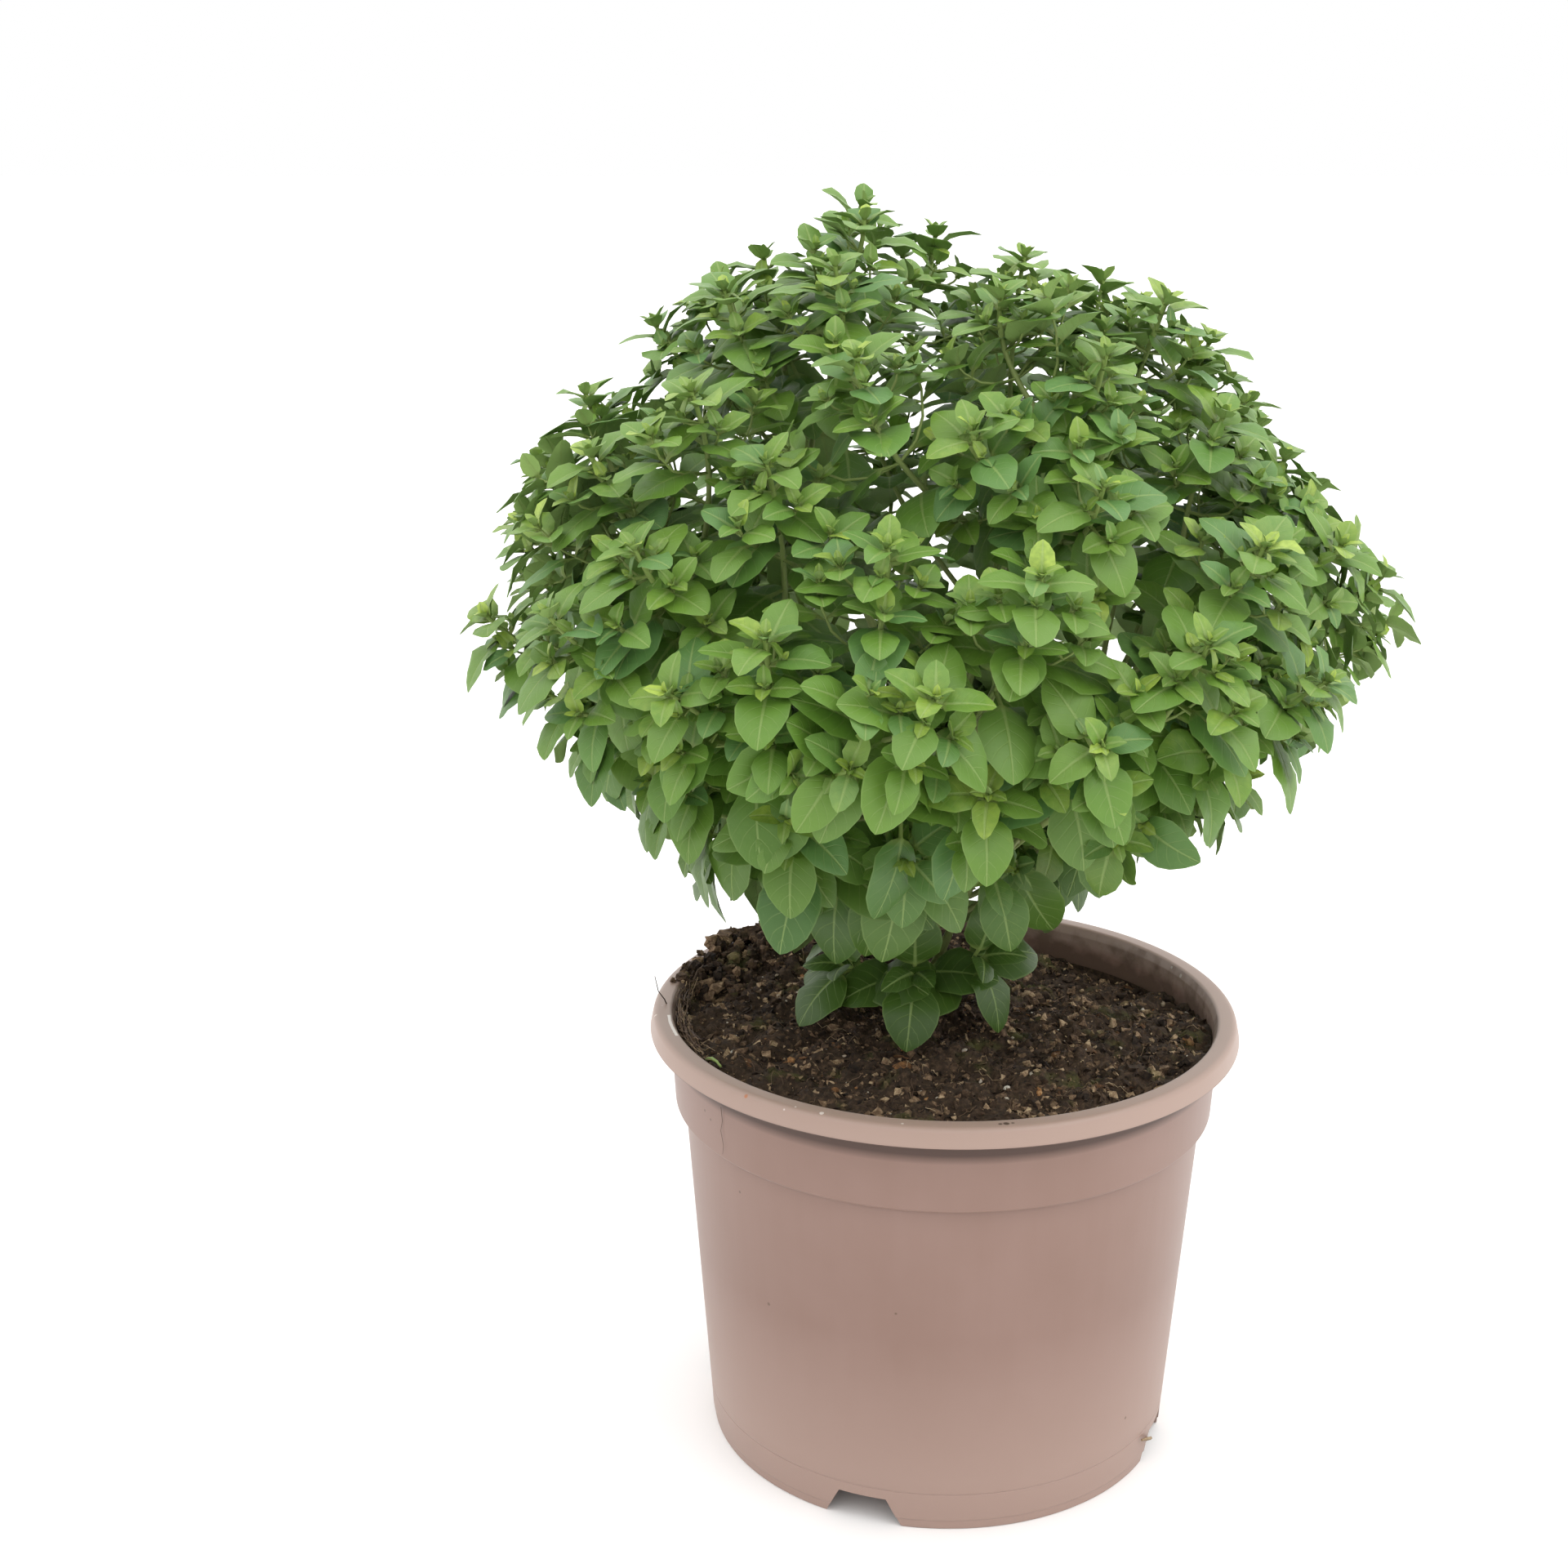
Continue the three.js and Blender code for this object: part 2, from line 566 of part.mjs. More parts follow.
// One leaf of a pair, turned and spread from the flat side that it leaves by angles in degrees
function makeLeaf(stem, pair, at, side, turn, spread) {
  const section = sectionAt(stem, at);
  const outward = sideDirection(section, side)
    .applyAxisAngle(section.forward, THREE.MathUtils.degToRad(turn));
  const opening = THREE.MathUtils.degToRad(spread);
  const along = section.forward.clone().multiplyScalar(Math.cos(opening))
    .addScaledVector(outward, Math.sin(opening))
    .addScaledVector(up, -hangAtHeight(stem.tip.point.z))
    .normalize();
  const normal = section.forward.clone().addScaledVector(along, -section.forward.dot(along)).normalize();
  const drawn = 1 + SIZE_SCATTER * drawEitherWay(stem.tip.number, 7 + side, Math.round(pair.length));
  const size = drawn * sizeAtHeight(stem.tip.point.z);
  return {
    at,
    side,
    root: section.middle,
    along,
    normal,
    across: new THREE.Vector3().crossVectors(normal, along),
    length: pair.length * size,
    width: pair.width * size,
    outline: pair.outline,
    stem,
  };
}

// The middle of a blade at a share of its length, and its left and right edges there
function bladeSection(leaf, [share, fullness]) {
  const run = leaf.length * share;
  const lift = BLADE_ARCH * leaf.length * share * (1 - share) - BLADE_DROOP * leaf.length * share * share;
  const middle = leaf.root.clone().addScaledVector(leaf.along, run).addScaledVector(leaf.normal, lift);
  const half = leaf.width * fullness / 2;
  return [middle.clone().addScaledVector(leaf.across, -half), middle.clone().addScaledVector(leaf.across, half)];
}

// The middle surface of a blade as triangles, with its edges as lines
function bladeSurface(leaf) {
  const rows = leaf.outline.map((row) => bladeSection(leaf, row));
  const triangles = [];
  const edges = [];
  rows.slice(1).forEach(([left, right], i) => {
    const [fromLeft, fromRight] = rows[i];
    triangles.push(new THREE.Triangle(fromLeft, fromRight, right));
    if (left.distanceTo(right) > SAME_PLACE) triangles.push(new THREE.Triangle(fromLeft, right, left));
    edges.push(new THREE.Line3(fromLeft, left), new THREE.Line3(fromRight, right));
    edges.push(new THREE.Line3(fromLeft, fromRight), new THREE.Line3(fromLeft, right));
  });
  const middle = leaf.root.clone().addScaledVector(leaf.along, leaf.length / 2);
  return { middle, triangles, edges, reach: leaf.length * BLADE_REACH };
}

const nearest = new THREE.Vector3();

function lineMeetsTriangle(line, triangle, gap) {
  for (const share of TESTED_SHARES) {
    const point = line.at(share, new THREE.Vector3());
    if (triangle.closestPointToPoint(point, nearest).distanceTo(point) < gap) return true;
  }
  const ray = new THREE.Ray(line.start, line.delta(new THREE.Vector3()).normalize());
  const hit = ray.intersectTriangle(triangle.a, triangle.b, triangle.c, false, nearest);
  return hit !== null && hit.distanceTo(line.start) < line.distance();
}

function surfaceMeetsLines(surface, lines, gap) {
  return lines.some((line) => surface.triangles.some((triangle) => lineMeetsTriangle(line, triangle, gap)));
}

function surfacesMeet(first, second) {
  if (first.middle.distanceTo(second.middle) > first.reach + second.reach) return false;
  return surfaceMeetsLines(first, second.edges, LEAF_CLEARANCE)
    || surfaceMeetsLines(second, first.edges, LEAF_CLEARANCE);
}

function stemLines(stem) {
  const points = stem.curve.getSpacedPoints(STEM_LINE_COUNT);
  return points.slice(1).map((end, i) => ({
    stem,
    line: new THREE.Line3(points[i], end),
    gap: STEM_CLEARANCE + THREE.MathUtils.lerp(stem.footRadius, stem.tipRadius, i / STEM_LINE_COUNT),
  }));
}

// Hangs the leaves on every stem, each clear of the soil, of all other stems and of all other leaves.
// A leaf that would meet something is turned or bent, and left out where no choice is free.
function hangLeaves(stems) {
  const placed = [];
  const trunkStem = { curve: trunkCurve, footRadius: TRUNK_SWELL.radius, tipRadius: TRUNK_SWELL.radius };
  const lines = [...stems, trunkStem].flatMap(stemLines);

  function isClear(leaf, surface) {
    const corners = surface.edges.flatMap(({ start, end }) => [start, end]);
    if (corners.some(({ x, y, z }) => z < soilHeight(x, y) + SOIL_CLEARANCE)) return false;
    const meetsStem = lines.some(({ stem, line, gap }) => stem !== leaf.stem
      && line.closestPointToPoint(surface.middle, true, nearest).distanceTo(surface.middle) < surface.reach
      && surfaceMeetsLines(surface, [line], gap));
    return !meetsStem && !placed.some((other) => (
      other.leaf.root.distanceTo(leaf.root) > SAME_PLACE && surfacesMeet(surface, other.surface)));
  }

  function hangLeaf(stem, pair, side) {
    const at = Math.max(stem.length - pair.fromTip, LEAST_FOOT_LENGTH);
    for (const spread of SPREAD_CHOICES) {
      for (const turn of TURN_CHOICES) {
        const leaf = makeLeaf(stem, pair, at, side, turn, pair.spread + spread);
        const surface = bladeSurface(leaf);
        if (isClear(leaf, surface)) {
          placed.push({ leaf, surface });
          stem.leaves.push(leaf);
          return;
        }
      }
    }
  }

  LEAF_PAIRS.forEach((pair, level) => {
    for (const stem of stems) {
      const isTooShort = stem.length - pair.fromTip < LEAST_FOOT_LENGTH + LEAST_TIP_LENGTH;
      if (isTooShort || stem.tip.number % pair.onEvery > 0) continue;
      hangLeaf(stem, pair, level % 2);
      hangLeaf(stem, pair, level % 2 + 2);
    }
  });
}

// Skin: stems, twigs and leaves grow out of one closed surface

function newSkin() {
  return { points: [], corners: [] };
}

function addPoints(skin, points) {
  return points.map((point) => skin.points.push(point) - 1);
}

// A face with its corners anticlockwise as seen from outside, split from its first corner
function addFace(skin, a, b, c, d) {
  skin.corners.push(a, b, c);
  if (d !== undefined) skin.corners.push(a, c, d);
}

// A blade grows out of a four-cornered opening, row by row, and closes in an upright edge at its tip
function growLeaf(skin, opening, leaf) {
  let [bottomLeft, bottomRight, topRight, topLeft] = opening;
  const lift = leaf.normal.clone().multiplyScalar(BLADE_THICKNESS / 2);
  for (const row of leaf.outline.slice(1)) {
    const [left, right] = bladeSection(leaf, row);
    const isTip = row[1] === 0;
    const [nextBottomLeft, nextTopLeft] = addPoints(skin, [left.clone().sub(lift), left.clone().add(lift)]);
    const [nextBottomRight, nextTopRight] = isTip
      ? [nextBottomLeft, nextTopLeft]
      : addPoints(skin, [right.clone().sub(lift), right.clone().add(lift)]);
    addFace(skin, bottomLeft, bottomRight, nextBottomRight, isTip ? undefined : nextBottomLeft);
    addFace(skin, topLeft, nextTopLeft, isTip ? topRight : nextTopRight, isTip ? undefined : topRight);
    addFace(skin, topLeft, bottomLeft, nextBottomLeft, nextTopLeft);
    addFace(skin, bottomRight, topRight, nextTopRight, nextBottomRight);
    [bottomLeft, bottomRight, topRight, topLeft] = [nextBottomLeft, nextBottomRight, nextTopRight, nextTopLeft];
  }
}

// A stem grows section by section. Where a twig or a leaf leaves it, that flat side stays open for it.
function growStem(skin, opening, stem) {
  const growths = [
    ...stem.twigs.map(({ at, side, stem: twig }) => ({ at, side, room: TWIG_FOOT_RADIUS, twig })),
    ...stem.leaves.map((leaf) => ({ at: leaf.at, side: leaf.side, room: LEAF_FOOT_RADIUS, leaf })),
  ];
  const distances = growths.flatMap(({ at, room }) => [at - room, at + room]);
  for (let i = 1; i <= stem.steps; i += 1) {
    const plain = stem.length * i / stem.steps;
    if (distances.every((distance) => Math.abs(distance - plain) > PLAIN_SECTION_ROOM)) distances.push(plain);
  }
  distances.push(stem.length);
  const ordered = [...new Set(distances)].sort((a, b) => a - b);
  let corners = opening ?? addPoints(skin, sectionCorners(sectionAt(stem, 0)));
  if (!opening) addFace(skin, corners[3], corners[2], corners[1], corners[0]);
  let from = 0;
  for (const distance of ordered) {
    const next = addPoints(skin, sectionCorners(sectionAt(stem, distance)));
    for (let side = 0; side < 4; side += 1) {
      const beyond = (side + 1) % 4;
      const face = [corners[side], corners[beyond], next[beyond], next[side]];
      const growth = growths.find(({ at, side: own }) => own === side && at > from && at < distance);
      if (growth === undefined) addFace(skin, ...face);
      else if (growth.leaf) growLeaf(skin, face, growth.leaf);
      else growStem(skin, face, growth.twig);
    }
    corners = next;
    from = distance;
  }
  addFace(skin, ...corners);
}

function leafyStemGeometry(stem) {
  const skin = newSkin();
  growStem(skin, null, stem);
  const geometry = new THREE.BufferGeometry().setFromPoints(skin.points);
  geometry.setIndex(skin.corners);
  geometry.computeVertexNormals();
  return geometry;
}

// Assembly

const potPlastic = new THREE.MeshStandardMaterial({ color: 0xb0988c, roughness: 0.5, metalness: 0 });
const peat = new THREE.MeshStandardMaterial({ color: 0x35261b, roughness: 0.95, metalness: 0 });
const stemGreen = new THREE.MeshStandardMaterial({ color: 0x9aa56a, roughness: 0.6, metalness: 0 });
const leafGreen = new THREE.MeshStandardMaterial({ color: 0x5d8a3a, roughness: 0.5, metalness: 0 });

const group = new THREE.Group();

function addPiece(name, geometry, material) {
  const mesh = new THREE.Mesh(geometry, material);
  mesh.name = name;
  group.add(mesh);
}

const branches = makeBranches();
const lowShoots = makeLowShoots();
branches.forEach(layTwigs);
hangLeaves([...branches.flatMap((branch) => [branch, ...branch.twigs.map(({ stem }) => stem)]), ...lowShoots]);

addPiece('pot', toGeometry(potSolid()), potPlastic);
addPiece('soil', toGeometry(soilSolid()), peat);
addPiece('trunk', bentStem(trunkCurve, trunkRadius, TRUNK_SIDES, TRUNK_STEPS), stemGreen);
branches.forEach((branch, i) => addPiece(`leafy_stem_${i + 1}`, leafyStemGeometry(branch), leafGreen));
lowShoots.forEach((shoot, i) => addPiece(`low_shoot_${i + 1}`, leafyStemGeometry(shoot), leafGreen));

export default group;
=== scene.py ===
# %% [markdown]
# # A bush basil in its nursery pot
#
# Bush basil makes thousands of small leaves on a ball of thin stems. Nobody could place those leaves one by
# one, so this lesson grows them by the plant's own rule: leaves stand in pairs, and each pair is turned a
# right angle to the last. The pot is a turned profile, and the soil is a bumpy disc under loose crumbs.
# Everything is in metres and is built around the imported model, which gives the true sizes.

# %% Load the model that everything is built around
import math

import bmesh
import bpy
from mathutils import Matrix, Quaternion, Vector, geometry, noise


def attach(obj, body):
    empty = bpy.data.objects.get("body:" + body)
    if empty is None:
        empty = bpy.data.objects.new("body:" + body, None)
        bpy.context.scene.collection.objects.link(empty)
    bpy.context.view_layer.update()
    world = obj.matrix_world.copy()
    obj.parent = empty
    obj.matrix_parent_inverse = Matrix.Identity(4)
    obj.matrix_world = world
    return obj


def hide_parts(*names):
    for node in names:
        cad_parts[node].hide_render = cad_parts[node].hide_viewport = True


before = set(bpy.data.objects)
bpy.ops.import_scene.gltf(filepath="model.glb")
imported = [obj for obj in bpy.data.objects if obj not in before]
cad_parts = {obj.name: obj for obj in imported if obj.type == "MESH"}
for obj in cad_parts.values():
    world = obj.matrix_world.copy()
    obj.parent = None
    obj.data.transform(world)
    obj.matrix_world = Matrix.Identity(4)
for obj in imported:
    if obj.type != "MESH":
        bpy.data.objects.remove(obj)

MM = 0.001
UP = Vector((0, 0, 1))

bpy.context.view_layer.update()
print("CAD nodes:", len(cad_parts))

# %% [markdown]
# ## Camera, floor and light
#
# The photograph is a studio shot on white. The lens and the place of the camera follow from how flat the
# pot's rim, step and foot look in it. Several lamps could light it, but they would give several hard
# shadows. So the light is a white room, brighter overhead and darker towards the front, with one large soft
# lamp at the right. The pot is then darkest left of its middle and lightest at its edges, and the leaves
# throw only soft shade on each other.

# %% Camera
CAMERA_PLACE = Vector((-38.03, -528.86, 325.7)) * MM
CAMERA_PITCH = math.radians(17.16)
LENS = 54.717
SENSOR = 36

camera = bpy.data.objects.new("camera", bpy.data.cameras.new("camera"))
camera.data.lens = LENS
camera.data.sensor_width = SENSOR
camera.location = CAMERA_PLACE
camera.rotation_euler = (math.radians(90) - CAMERA_PITCH, 0, 0)
bpy.context.scene.collection.objects.link(camera)
bpy.context.scene.camera = camera
bpy.context.scene.view_settings.view_transform = "Standard"
print("camera:", [round(value, 3) for value in camera.location])

# %% Sums of sockets, written as Python


def shown(sockets, key):
    """The socket that a node shows under a name, or at a place in its list."""
    visible = [socket for socket in sockets if socket.enabled]
    return visible[key] if isinstance(key, int) else next(s for s in visible if s.name == key)


class Wire:
    """An output of a node. A sum of wires adds the Math or Vector Math nodes that work it out."""

    def __init__(self, sheet, socket):
        self.sheet = sheet
        self.socket = socket

    def out(self, name):
        return Wire(self.sheet, shown(self.socket.node.outputs, name))

    def __add__(self, other):
        return self.sheet.maths("ADD", self, other)

    def __radd__(self, other):
        return self.sheet.maths("ADD", other, self)

    def __sub__(self, other):
        return self.sheet.maths("SUBTRACT", self, other)

    def __rsub__(self, other):
        return self.sheet.maths("SUBTRACT", other, self)

    def __mul__(self, other):
        return self.sheet.maths("MULTIPLY", self, other)

    def __rmul__(self, other):
        return self.sheet.maths("MULTIPLY", other, self)

    def __truediv__(self, other):
        return self.sheet.maths("DIVIDE", self, other)

    def __pow__(self, other):
        return self.sheet.maths("POWER", self, other)

    def __abs__(self):
        return self.sheet.maths("ABSOLUTE", self)

    def __lt__(self, other):
        return self.sheet.maths("LESS_THAN", self, other)

    def __gt__(self, other):
        return self.sheet.maths("GREATER_THAN", self, other)


class Sheet:
    """A node tree, of a material or of Geometry Nodes, that is written as Python expressions."""

    def __init__(self, tree):
        self.tree = tree

    def plug(self, socket, value):
        if isinstance(value, Wire):
            self.tree.links.new(value.socket, socket)
        else:
            socket.default_value = value

    def node(self, kind, settings=None, sockets=None):
        node = self.tree.nodes.new(kind)
        for name, value in (settings or {}).items():
            if name == "stops":
                self.set_stops(node.color_ramp, value)
            else:
                setattr(node, name, value)
        for key, value in (sockets or {}).items():
            self.plug(shown(node.inputs, key), value)
        return Wire(self, shown(node.outputs, 0))

    def set_stops(self, ramp, stops):
        while len(ramp.elements) < len(stops):
            ramp.elements.new(1)
        for element, (place, colour) in zip(ramp.elements, stops):
            element.position = place
            element.color = colour

    def maths(self, operation, *values):
        vectors = [isinstance(value, Wire) and value.socket.type == "VECTOR" for value in values]
        if not any(vectors):
            return self.node("ShaderNodeMath", {"operation": operation}, dict(enumerate(values)))
        if operation == "MULTIPLY" and not all(vectors):
            vector, number = values if vectors[0] else reversed(values)
            sockets = {"Vector": vector, "Scale": number}
            return self.node("ShaderNodeVectorMath", {"operation": "SCALE"}, sockets)
        return self.node("ShaderNodeVectorMath", {"operation": operation}, dict(enumerate(values)))

    def clamp(self, value):
        return self.node("ShaderNodeClamp", {}, {"Value": value})

    def mix(self, share, first, second):
        """A colour between two others, the second where share is 1."""
        settings = {"data_type": "RGBA", "clamp_factor": True}
        return self.node("ShaderNodeMix", settings, {"Factor": share, "A": first, "B": second})

    def split(self, vector):
        parts = self.node("ShaderNodeSeparateXYZ", {}, {"Vector": vector})
        return parts, parts.out("Y"), parts.out("Z")

    def place(self):
        """The place on the piece, in metres."""
        return self.node("ShaderNodeTexCoord").out("Object")

    def upright(self, place, share):
        """A place whose height counts only for a share, so that a pattern on it is drawn out upwards."""
        return self.node("ShaderNodeMapping", {}, {"Vector": place, "Scale": (1, 1, share)})

    def kept(self, name, output="Fac"):
        """What a piece keeps at each point under a name."""
        return self.node("ShaderNodeAttribute", {"attribute_name": name}).out(output)

    def noise(self, place, scale, detail=2, roughness=0.5):
        sockets = {"Vector": place, "Scale": scale, "Detail": detail, "Roughness": roughness}
        return self.node("ShaderNodeTexNoise", {}, sockets)

    def dots(self, place, scale):
        """How far it is to the nearest of many scattered dots."""
        return self.node("ShaderNodeTexVoronoi", {}, {"Vector": place, "Scale": scale}).out("Distance")

    def ramp(self, stops, share):
        """A colour that runs through some stops as a share goes from 0 to 1."""
        return self.node("ShaderNodeValToRGB", {"stops": stops}, {0: self.clamp(share)})

    def finish(self, shader, colour, roughness, relief, strength, depth):
        """Gives a shader its colour, its roughness and a fine relief."""
        self.plug(shader.inputs["Base Color"], colour)
        self.plug(shader.inputs["Roughness"], roughness)
        sockets = {"Strength": strength, "Distance": depth, "Height": relief}
        self.plug(shader.inputs["Normal"], self.node("ShaderNodeBump", {}, sockets))


def paint(code):
    """A linear colour from its usual six-digit code."""
    shares = [int(code[i:i + 2], 16) / 255 for i in (0, 2, 4)]
    return (*[s / 12.92 if s <= 0.04045 else ((s + 0.055) / 1.055) ** 2.4 for s in shares], 1)


def material_sheet(name, **constants):
    """A new material's sheet and its Principled shader, with the values that are the same all over it."""
    material = bpy.data.materials.new(name)
    material.use_nodes = True
    shader = next(node for node in material.node_tree.nodes if node.type == "BSDF_PRINCIPLED")
    for title, value in constants.items():
        shader.inputs[title.replace("_", " ")].default_value = value
    return material, Sheet(material.node_tree), shader


print("grey half way between black and white:", round(paint("bcbcbc")[0], 2))

# %% Floor and light
FLOOR_REACH = 6
FLOOR_GREY = paint("f2f1f0")
ROOM_LEVEL = 1.3
OVERHEAD_GAIN = 0.65
FRONT_LOSS = 1.1
DARK_RISE = 2.2
DARK_WAY = (-0.39, -0.92)
DARK_STEEPNESS, DARK_START = 1.6, 0.35
LAMP_PLACE = Vector((0.9, -0.6, 1.25))
LAMP_SIZE = 0.9
LAMP_WATTS = 4
LAMP_AIM = Vector((0, 0, 0.16))


def add_lamp(name, place, aim, size, watts):
    lamp = bpy.data.objects.new(name, bpy.data.lights.new(name, "AREA"))
    lamp.data.size = size
    lamp.data.energy = watts
    lamp.location = place
    lamp.rotation_euler = (aim - place).to_track_quat("-Z", "Y").to_euler()
    bpy.context.scene.collection.objects.link(lamp)


def add_floor():
    corners = [(-FLOOR_REACH, -FLOOR_REACH, 0), (FLOOR_REACH, -FLOOR_REACH, 0),
               (FLOOR_REACH, FLOOR_REACH, 0), (-FLOOR_REACH, FLOOR_REACH, 0)]
    mesh = bpy.data.meshes.new("floor")
    mesh.from_pydata(corners, [], [(0, 1, 2, 3)])
    floor = bpy.data.objects.new("floor", mesh)
    bpy.context.scene.collection.objects.link(floor)
    material, sheet, shader = material_sheet("pale_floor", Roughness=0.9)
    sheet.plug(shader.inputs["Base Color"], FLOOR_GREY)
    mesh.materials.append(material)


def add_room():
    """A white room that lights the plant more from overhead and less from low in front, where a studio is not
    lit. Behind the floor the camera sees it plain white in every view."""
    world = bpy.data.worlds.new("white_room")
    world.use_nodes = True
    sheet = Sheet(world.node_tree)
    across, deep, up = sheet.split(sheet.node("ShaderNodeTexCoord").out("Generated"))
    up = sheet.clamp(up)
    in_front = sheet.clamp((across * DARK_WAY[0] + deep * DARK_WAY[1]) * DARK_STEEPNESS - DARK_START)
    background = world.node_tree.nodes["Background"]
    background.inputs["Color"].default_value = (1, 1, 1, 1)
    strength = ROOM_LEVEL + OVERHEAD_GAIN * up - FRONT_LOSS * in_front * sheet.clamp(1 - DARK_RISE * up)
    seen = sheet.node("ShaderNodeLightPath").out("Is Camera Ray")
    sheet.plug(background.inputs["Strength"], strength * (1 - seen) + seen)
    bpy.context.scene.world = world


add_room()
add_lamp("soft_lamp", LAMP_PLACE, LAMP_AIM, LAMP_SIZE, LAMP_WATTS)
add_floor()
print("lamp:", LAMP_WATTS, "W, room overhead:", ROOM_LEVEL + OVERHEAD_GAIN)

# %% [markdown]
# ## How the plant grows
#
# One short trunk carries thirteen branches, and each branch carries the twigs whose tips lie nearest to its
# own place on the crown. The tips are spread evenly over a pointed dome by the golden angle, as seeds are
# on a sunflower. This rule and its draws repeat the rule of the model's solids, so every fine twig lies
# where the solid one does.

# %% Draws that repeat
SEED = 20259
WORD = 0xFFFFFFFF
FIRST_FACTOR, FIRST_SHIFT = 0x9E3779B1, 15
SECOND_FACTOR, SECOND_SHIFT = 0x85EBCA6B, 13


def draw(*keys):
    """A repeatable draw from 0 to 1 for whatever the keys number."""
    state = SEED
    for key in keys:
        state = ((state ^ (key + 1)) * FIRST_FACTOR) & WORD
        state ^= state >> FIRST_SHIFT
        state = (state * SECOND_FACTOR) & WORD
        state ^= state >> SECOND_SHIFT
    return state / (WORD + 1)


def either_way(*keys):
    return 2 * draw(*keys) - 1


def scatter(size, number, key):
    return Vector([size * either_way(number, key + axis) for axis in range(3)])


def between(share, low, high):
    return low + (high - low) * share


print("first draws:", [round(draw(number, 1), 3) for number in range(4)])

# %% Crown surface and shoot tips
CROWN_AXIS = Vector((-5, -1, 0)) * MM
CROWN_ROWS = [
    # height, and reach from the axis at the left, at the right, and at the front and back, in millimetres
    (292, 0, 0, 0),
    (288, 17, 15, 16),
    (281, 42, 36, 38),
    (272, 60, 52, 55),
    (261, 71, 62, 66),
    (249, 80, 74, 76),
    (237, 86, 85, 85),
    (225, 95, 93, 93),
    (214, 104, 97, 98),
    (204, 104, 98, 100),
    (193, 88, 89, 93),
    (183, 79, 76, 83),
    (173, 75, 64, 71),
    (164, 71, 51, 58),
    (156, 63, 37, 44),
    (149, 48, 26, 31),
    (143, 32, 15, 17),
]
SHOOT_COUNT = 103
TIP_SCATTER = 4 * MM
TIP_LEAN = 0.25
UPWARD_PULL = 1.1
AREA_STEPS = 400
ROW_STEP = 0.5
GOLDEN_ANGLE = math.pi * (3 - math.sqrt(5))
FIRST_BEARING = math.pi
STRAY_SHOOTS = [
    # where it ends, in millimetres, and the way it points
    (Vector((87, 0, 181)), Vector((1, 0, -0.25))),
    (Vector((108, 28, 195)), Vector((1, 0.25, 0.1))),
]


class Tip:
    """Where a shoot ends and the way it points."""

    def __init__(self, number, point, direction):
        self.number = number
        self.point = point
        self.direction = direction.normalized()


def level(bearing):
    return Vector((math.cos(bearing), math.sin(bearing), 0))


def crown_reach(row, bearing):
    """Reach and height of the crown at a bearing and a row, whose number may be a fraction."""
    first = min(max(math.floor(row), 0), len(CROWN_ROWS) - 2)
    sideways = math.cos(bearing)
    points = []
    for height, left, right, front in CROWN_ROWS[first:first + 2]:
        reach = between(sideways ** 2, front, left if sideways < 0 else right)
        points.append(Vector((reach, height)) * MM)
    return points[0].lerp(points[1], row - first)


def crown_place(share, bearing):
    """The crown's point at a share of the way down its rows and a bearing, and its outward direction."""
    row = share * (len(CROWN_ROWS) - 1)
    here = crown_reach(row, bearing)
    slope = crown_reach(row + ROW_STEP, bearing) - crown_reach(row - ROW_STEP, bearing)
    outward = level(bearing)
    return CROWN_AXIS + outward * here.x + UP * here.y, (outward * -slope.y + UP * slope.x).normalized()


def even_shares(count):
    """Shares of the way down that spread a number of places evenly over the crown's surface."""
    last = len(CROWN_ROWS) - 1
    edge = [crown_reach(last * i / AREA_STEPS, math.pi / 2) for i in range(AREA_STEPS + 1)]
    areas = [0]
    for before, after in zip(edge, edge[1:]):
        areas.append(areas[-1] + (after - before).length * (before.x + after.x) / 2)
    wanted = [areas[-1] * (i + 0.5) / count for i in range(count)]
    return [next(step for step, area in enumerate(areas) if area >= share) / AREA_STEPS for share in wanted]


def spiral_bearing(number):
    return FIRST_BEARING + number * GOLDEN_ANGLE


def shoot_tips():
    tips = []
    for number, share in enumerate(even_shares(SHOOT_COUNT)):
        point, normal = crown_place(share, spiral_bearing(number))
        lean = UP * UPWARD_PULL + scatter(TIP_LEAN, number, 4)
        tips.append(Tip(number, point + scatter(TIP_SCATTER, number, 1), normal + lean))
    for i, (point, direction) in enumerate(STRAY_SHOOTS):
        tips.append(Tip(SHOOT_COUNT + i, point * MM, direction))
    return tips


tips = shoot_tips()
print("shoot tips:", len(tips), "highest at", round(max(tip.point.z for tip in tips), 4))

# %% Trunk line
TRUNK_FOOT = Vector((-7, 5, 90)) * MM
TRUNK_BEND = Vector((-7.5, 4, 125)) * MM
TRUNK_TOP = Vector((-5, 3, 158)) * MM
TRUNK_NECK_HEIGHT = 105 * MM
TRUNK_NECK_RADIUS = 1.25 * MM
TRUNK_SWELL_HEIGHT = 115 * MM
TRUNK_SWELL_RADIUS = 2.15 * MM
TRUNK_TOP_RADIUS = 1.5 * MM


def trunk_point(height):
    share = (height - TRUNK_FOOT.z) / (TRUNK_TOP.z - TRUNK_FOOT.z)
    return TRUNK_FOOT * (1 - share) ** 2 + TRUNK_BEND * 2 * share * (1 - share) + TRUNK_TOP * share ** 2


def trunk_radius(height):
    if height < TRUNK_SWELL_HEIGHT:
        share = max(height - TRUNK_NECK_HEIGHT, 0) / (TRUNK_SWELL_HEIGHT - TRUNK_NECK_HEIGHT)
        return between(share, TRUNK_NECK_RADIUS, TRUNK_SWELL_RADIUS)
    share = (height - TRUNK_SWELL_HEIGHT) / (TRUNK_TOP.z - TRUNK_SWELL_HEIGHT)
    return between(share, TRUNK_SWELL_RADIUS, TRUNK_TOP_RADIUS)


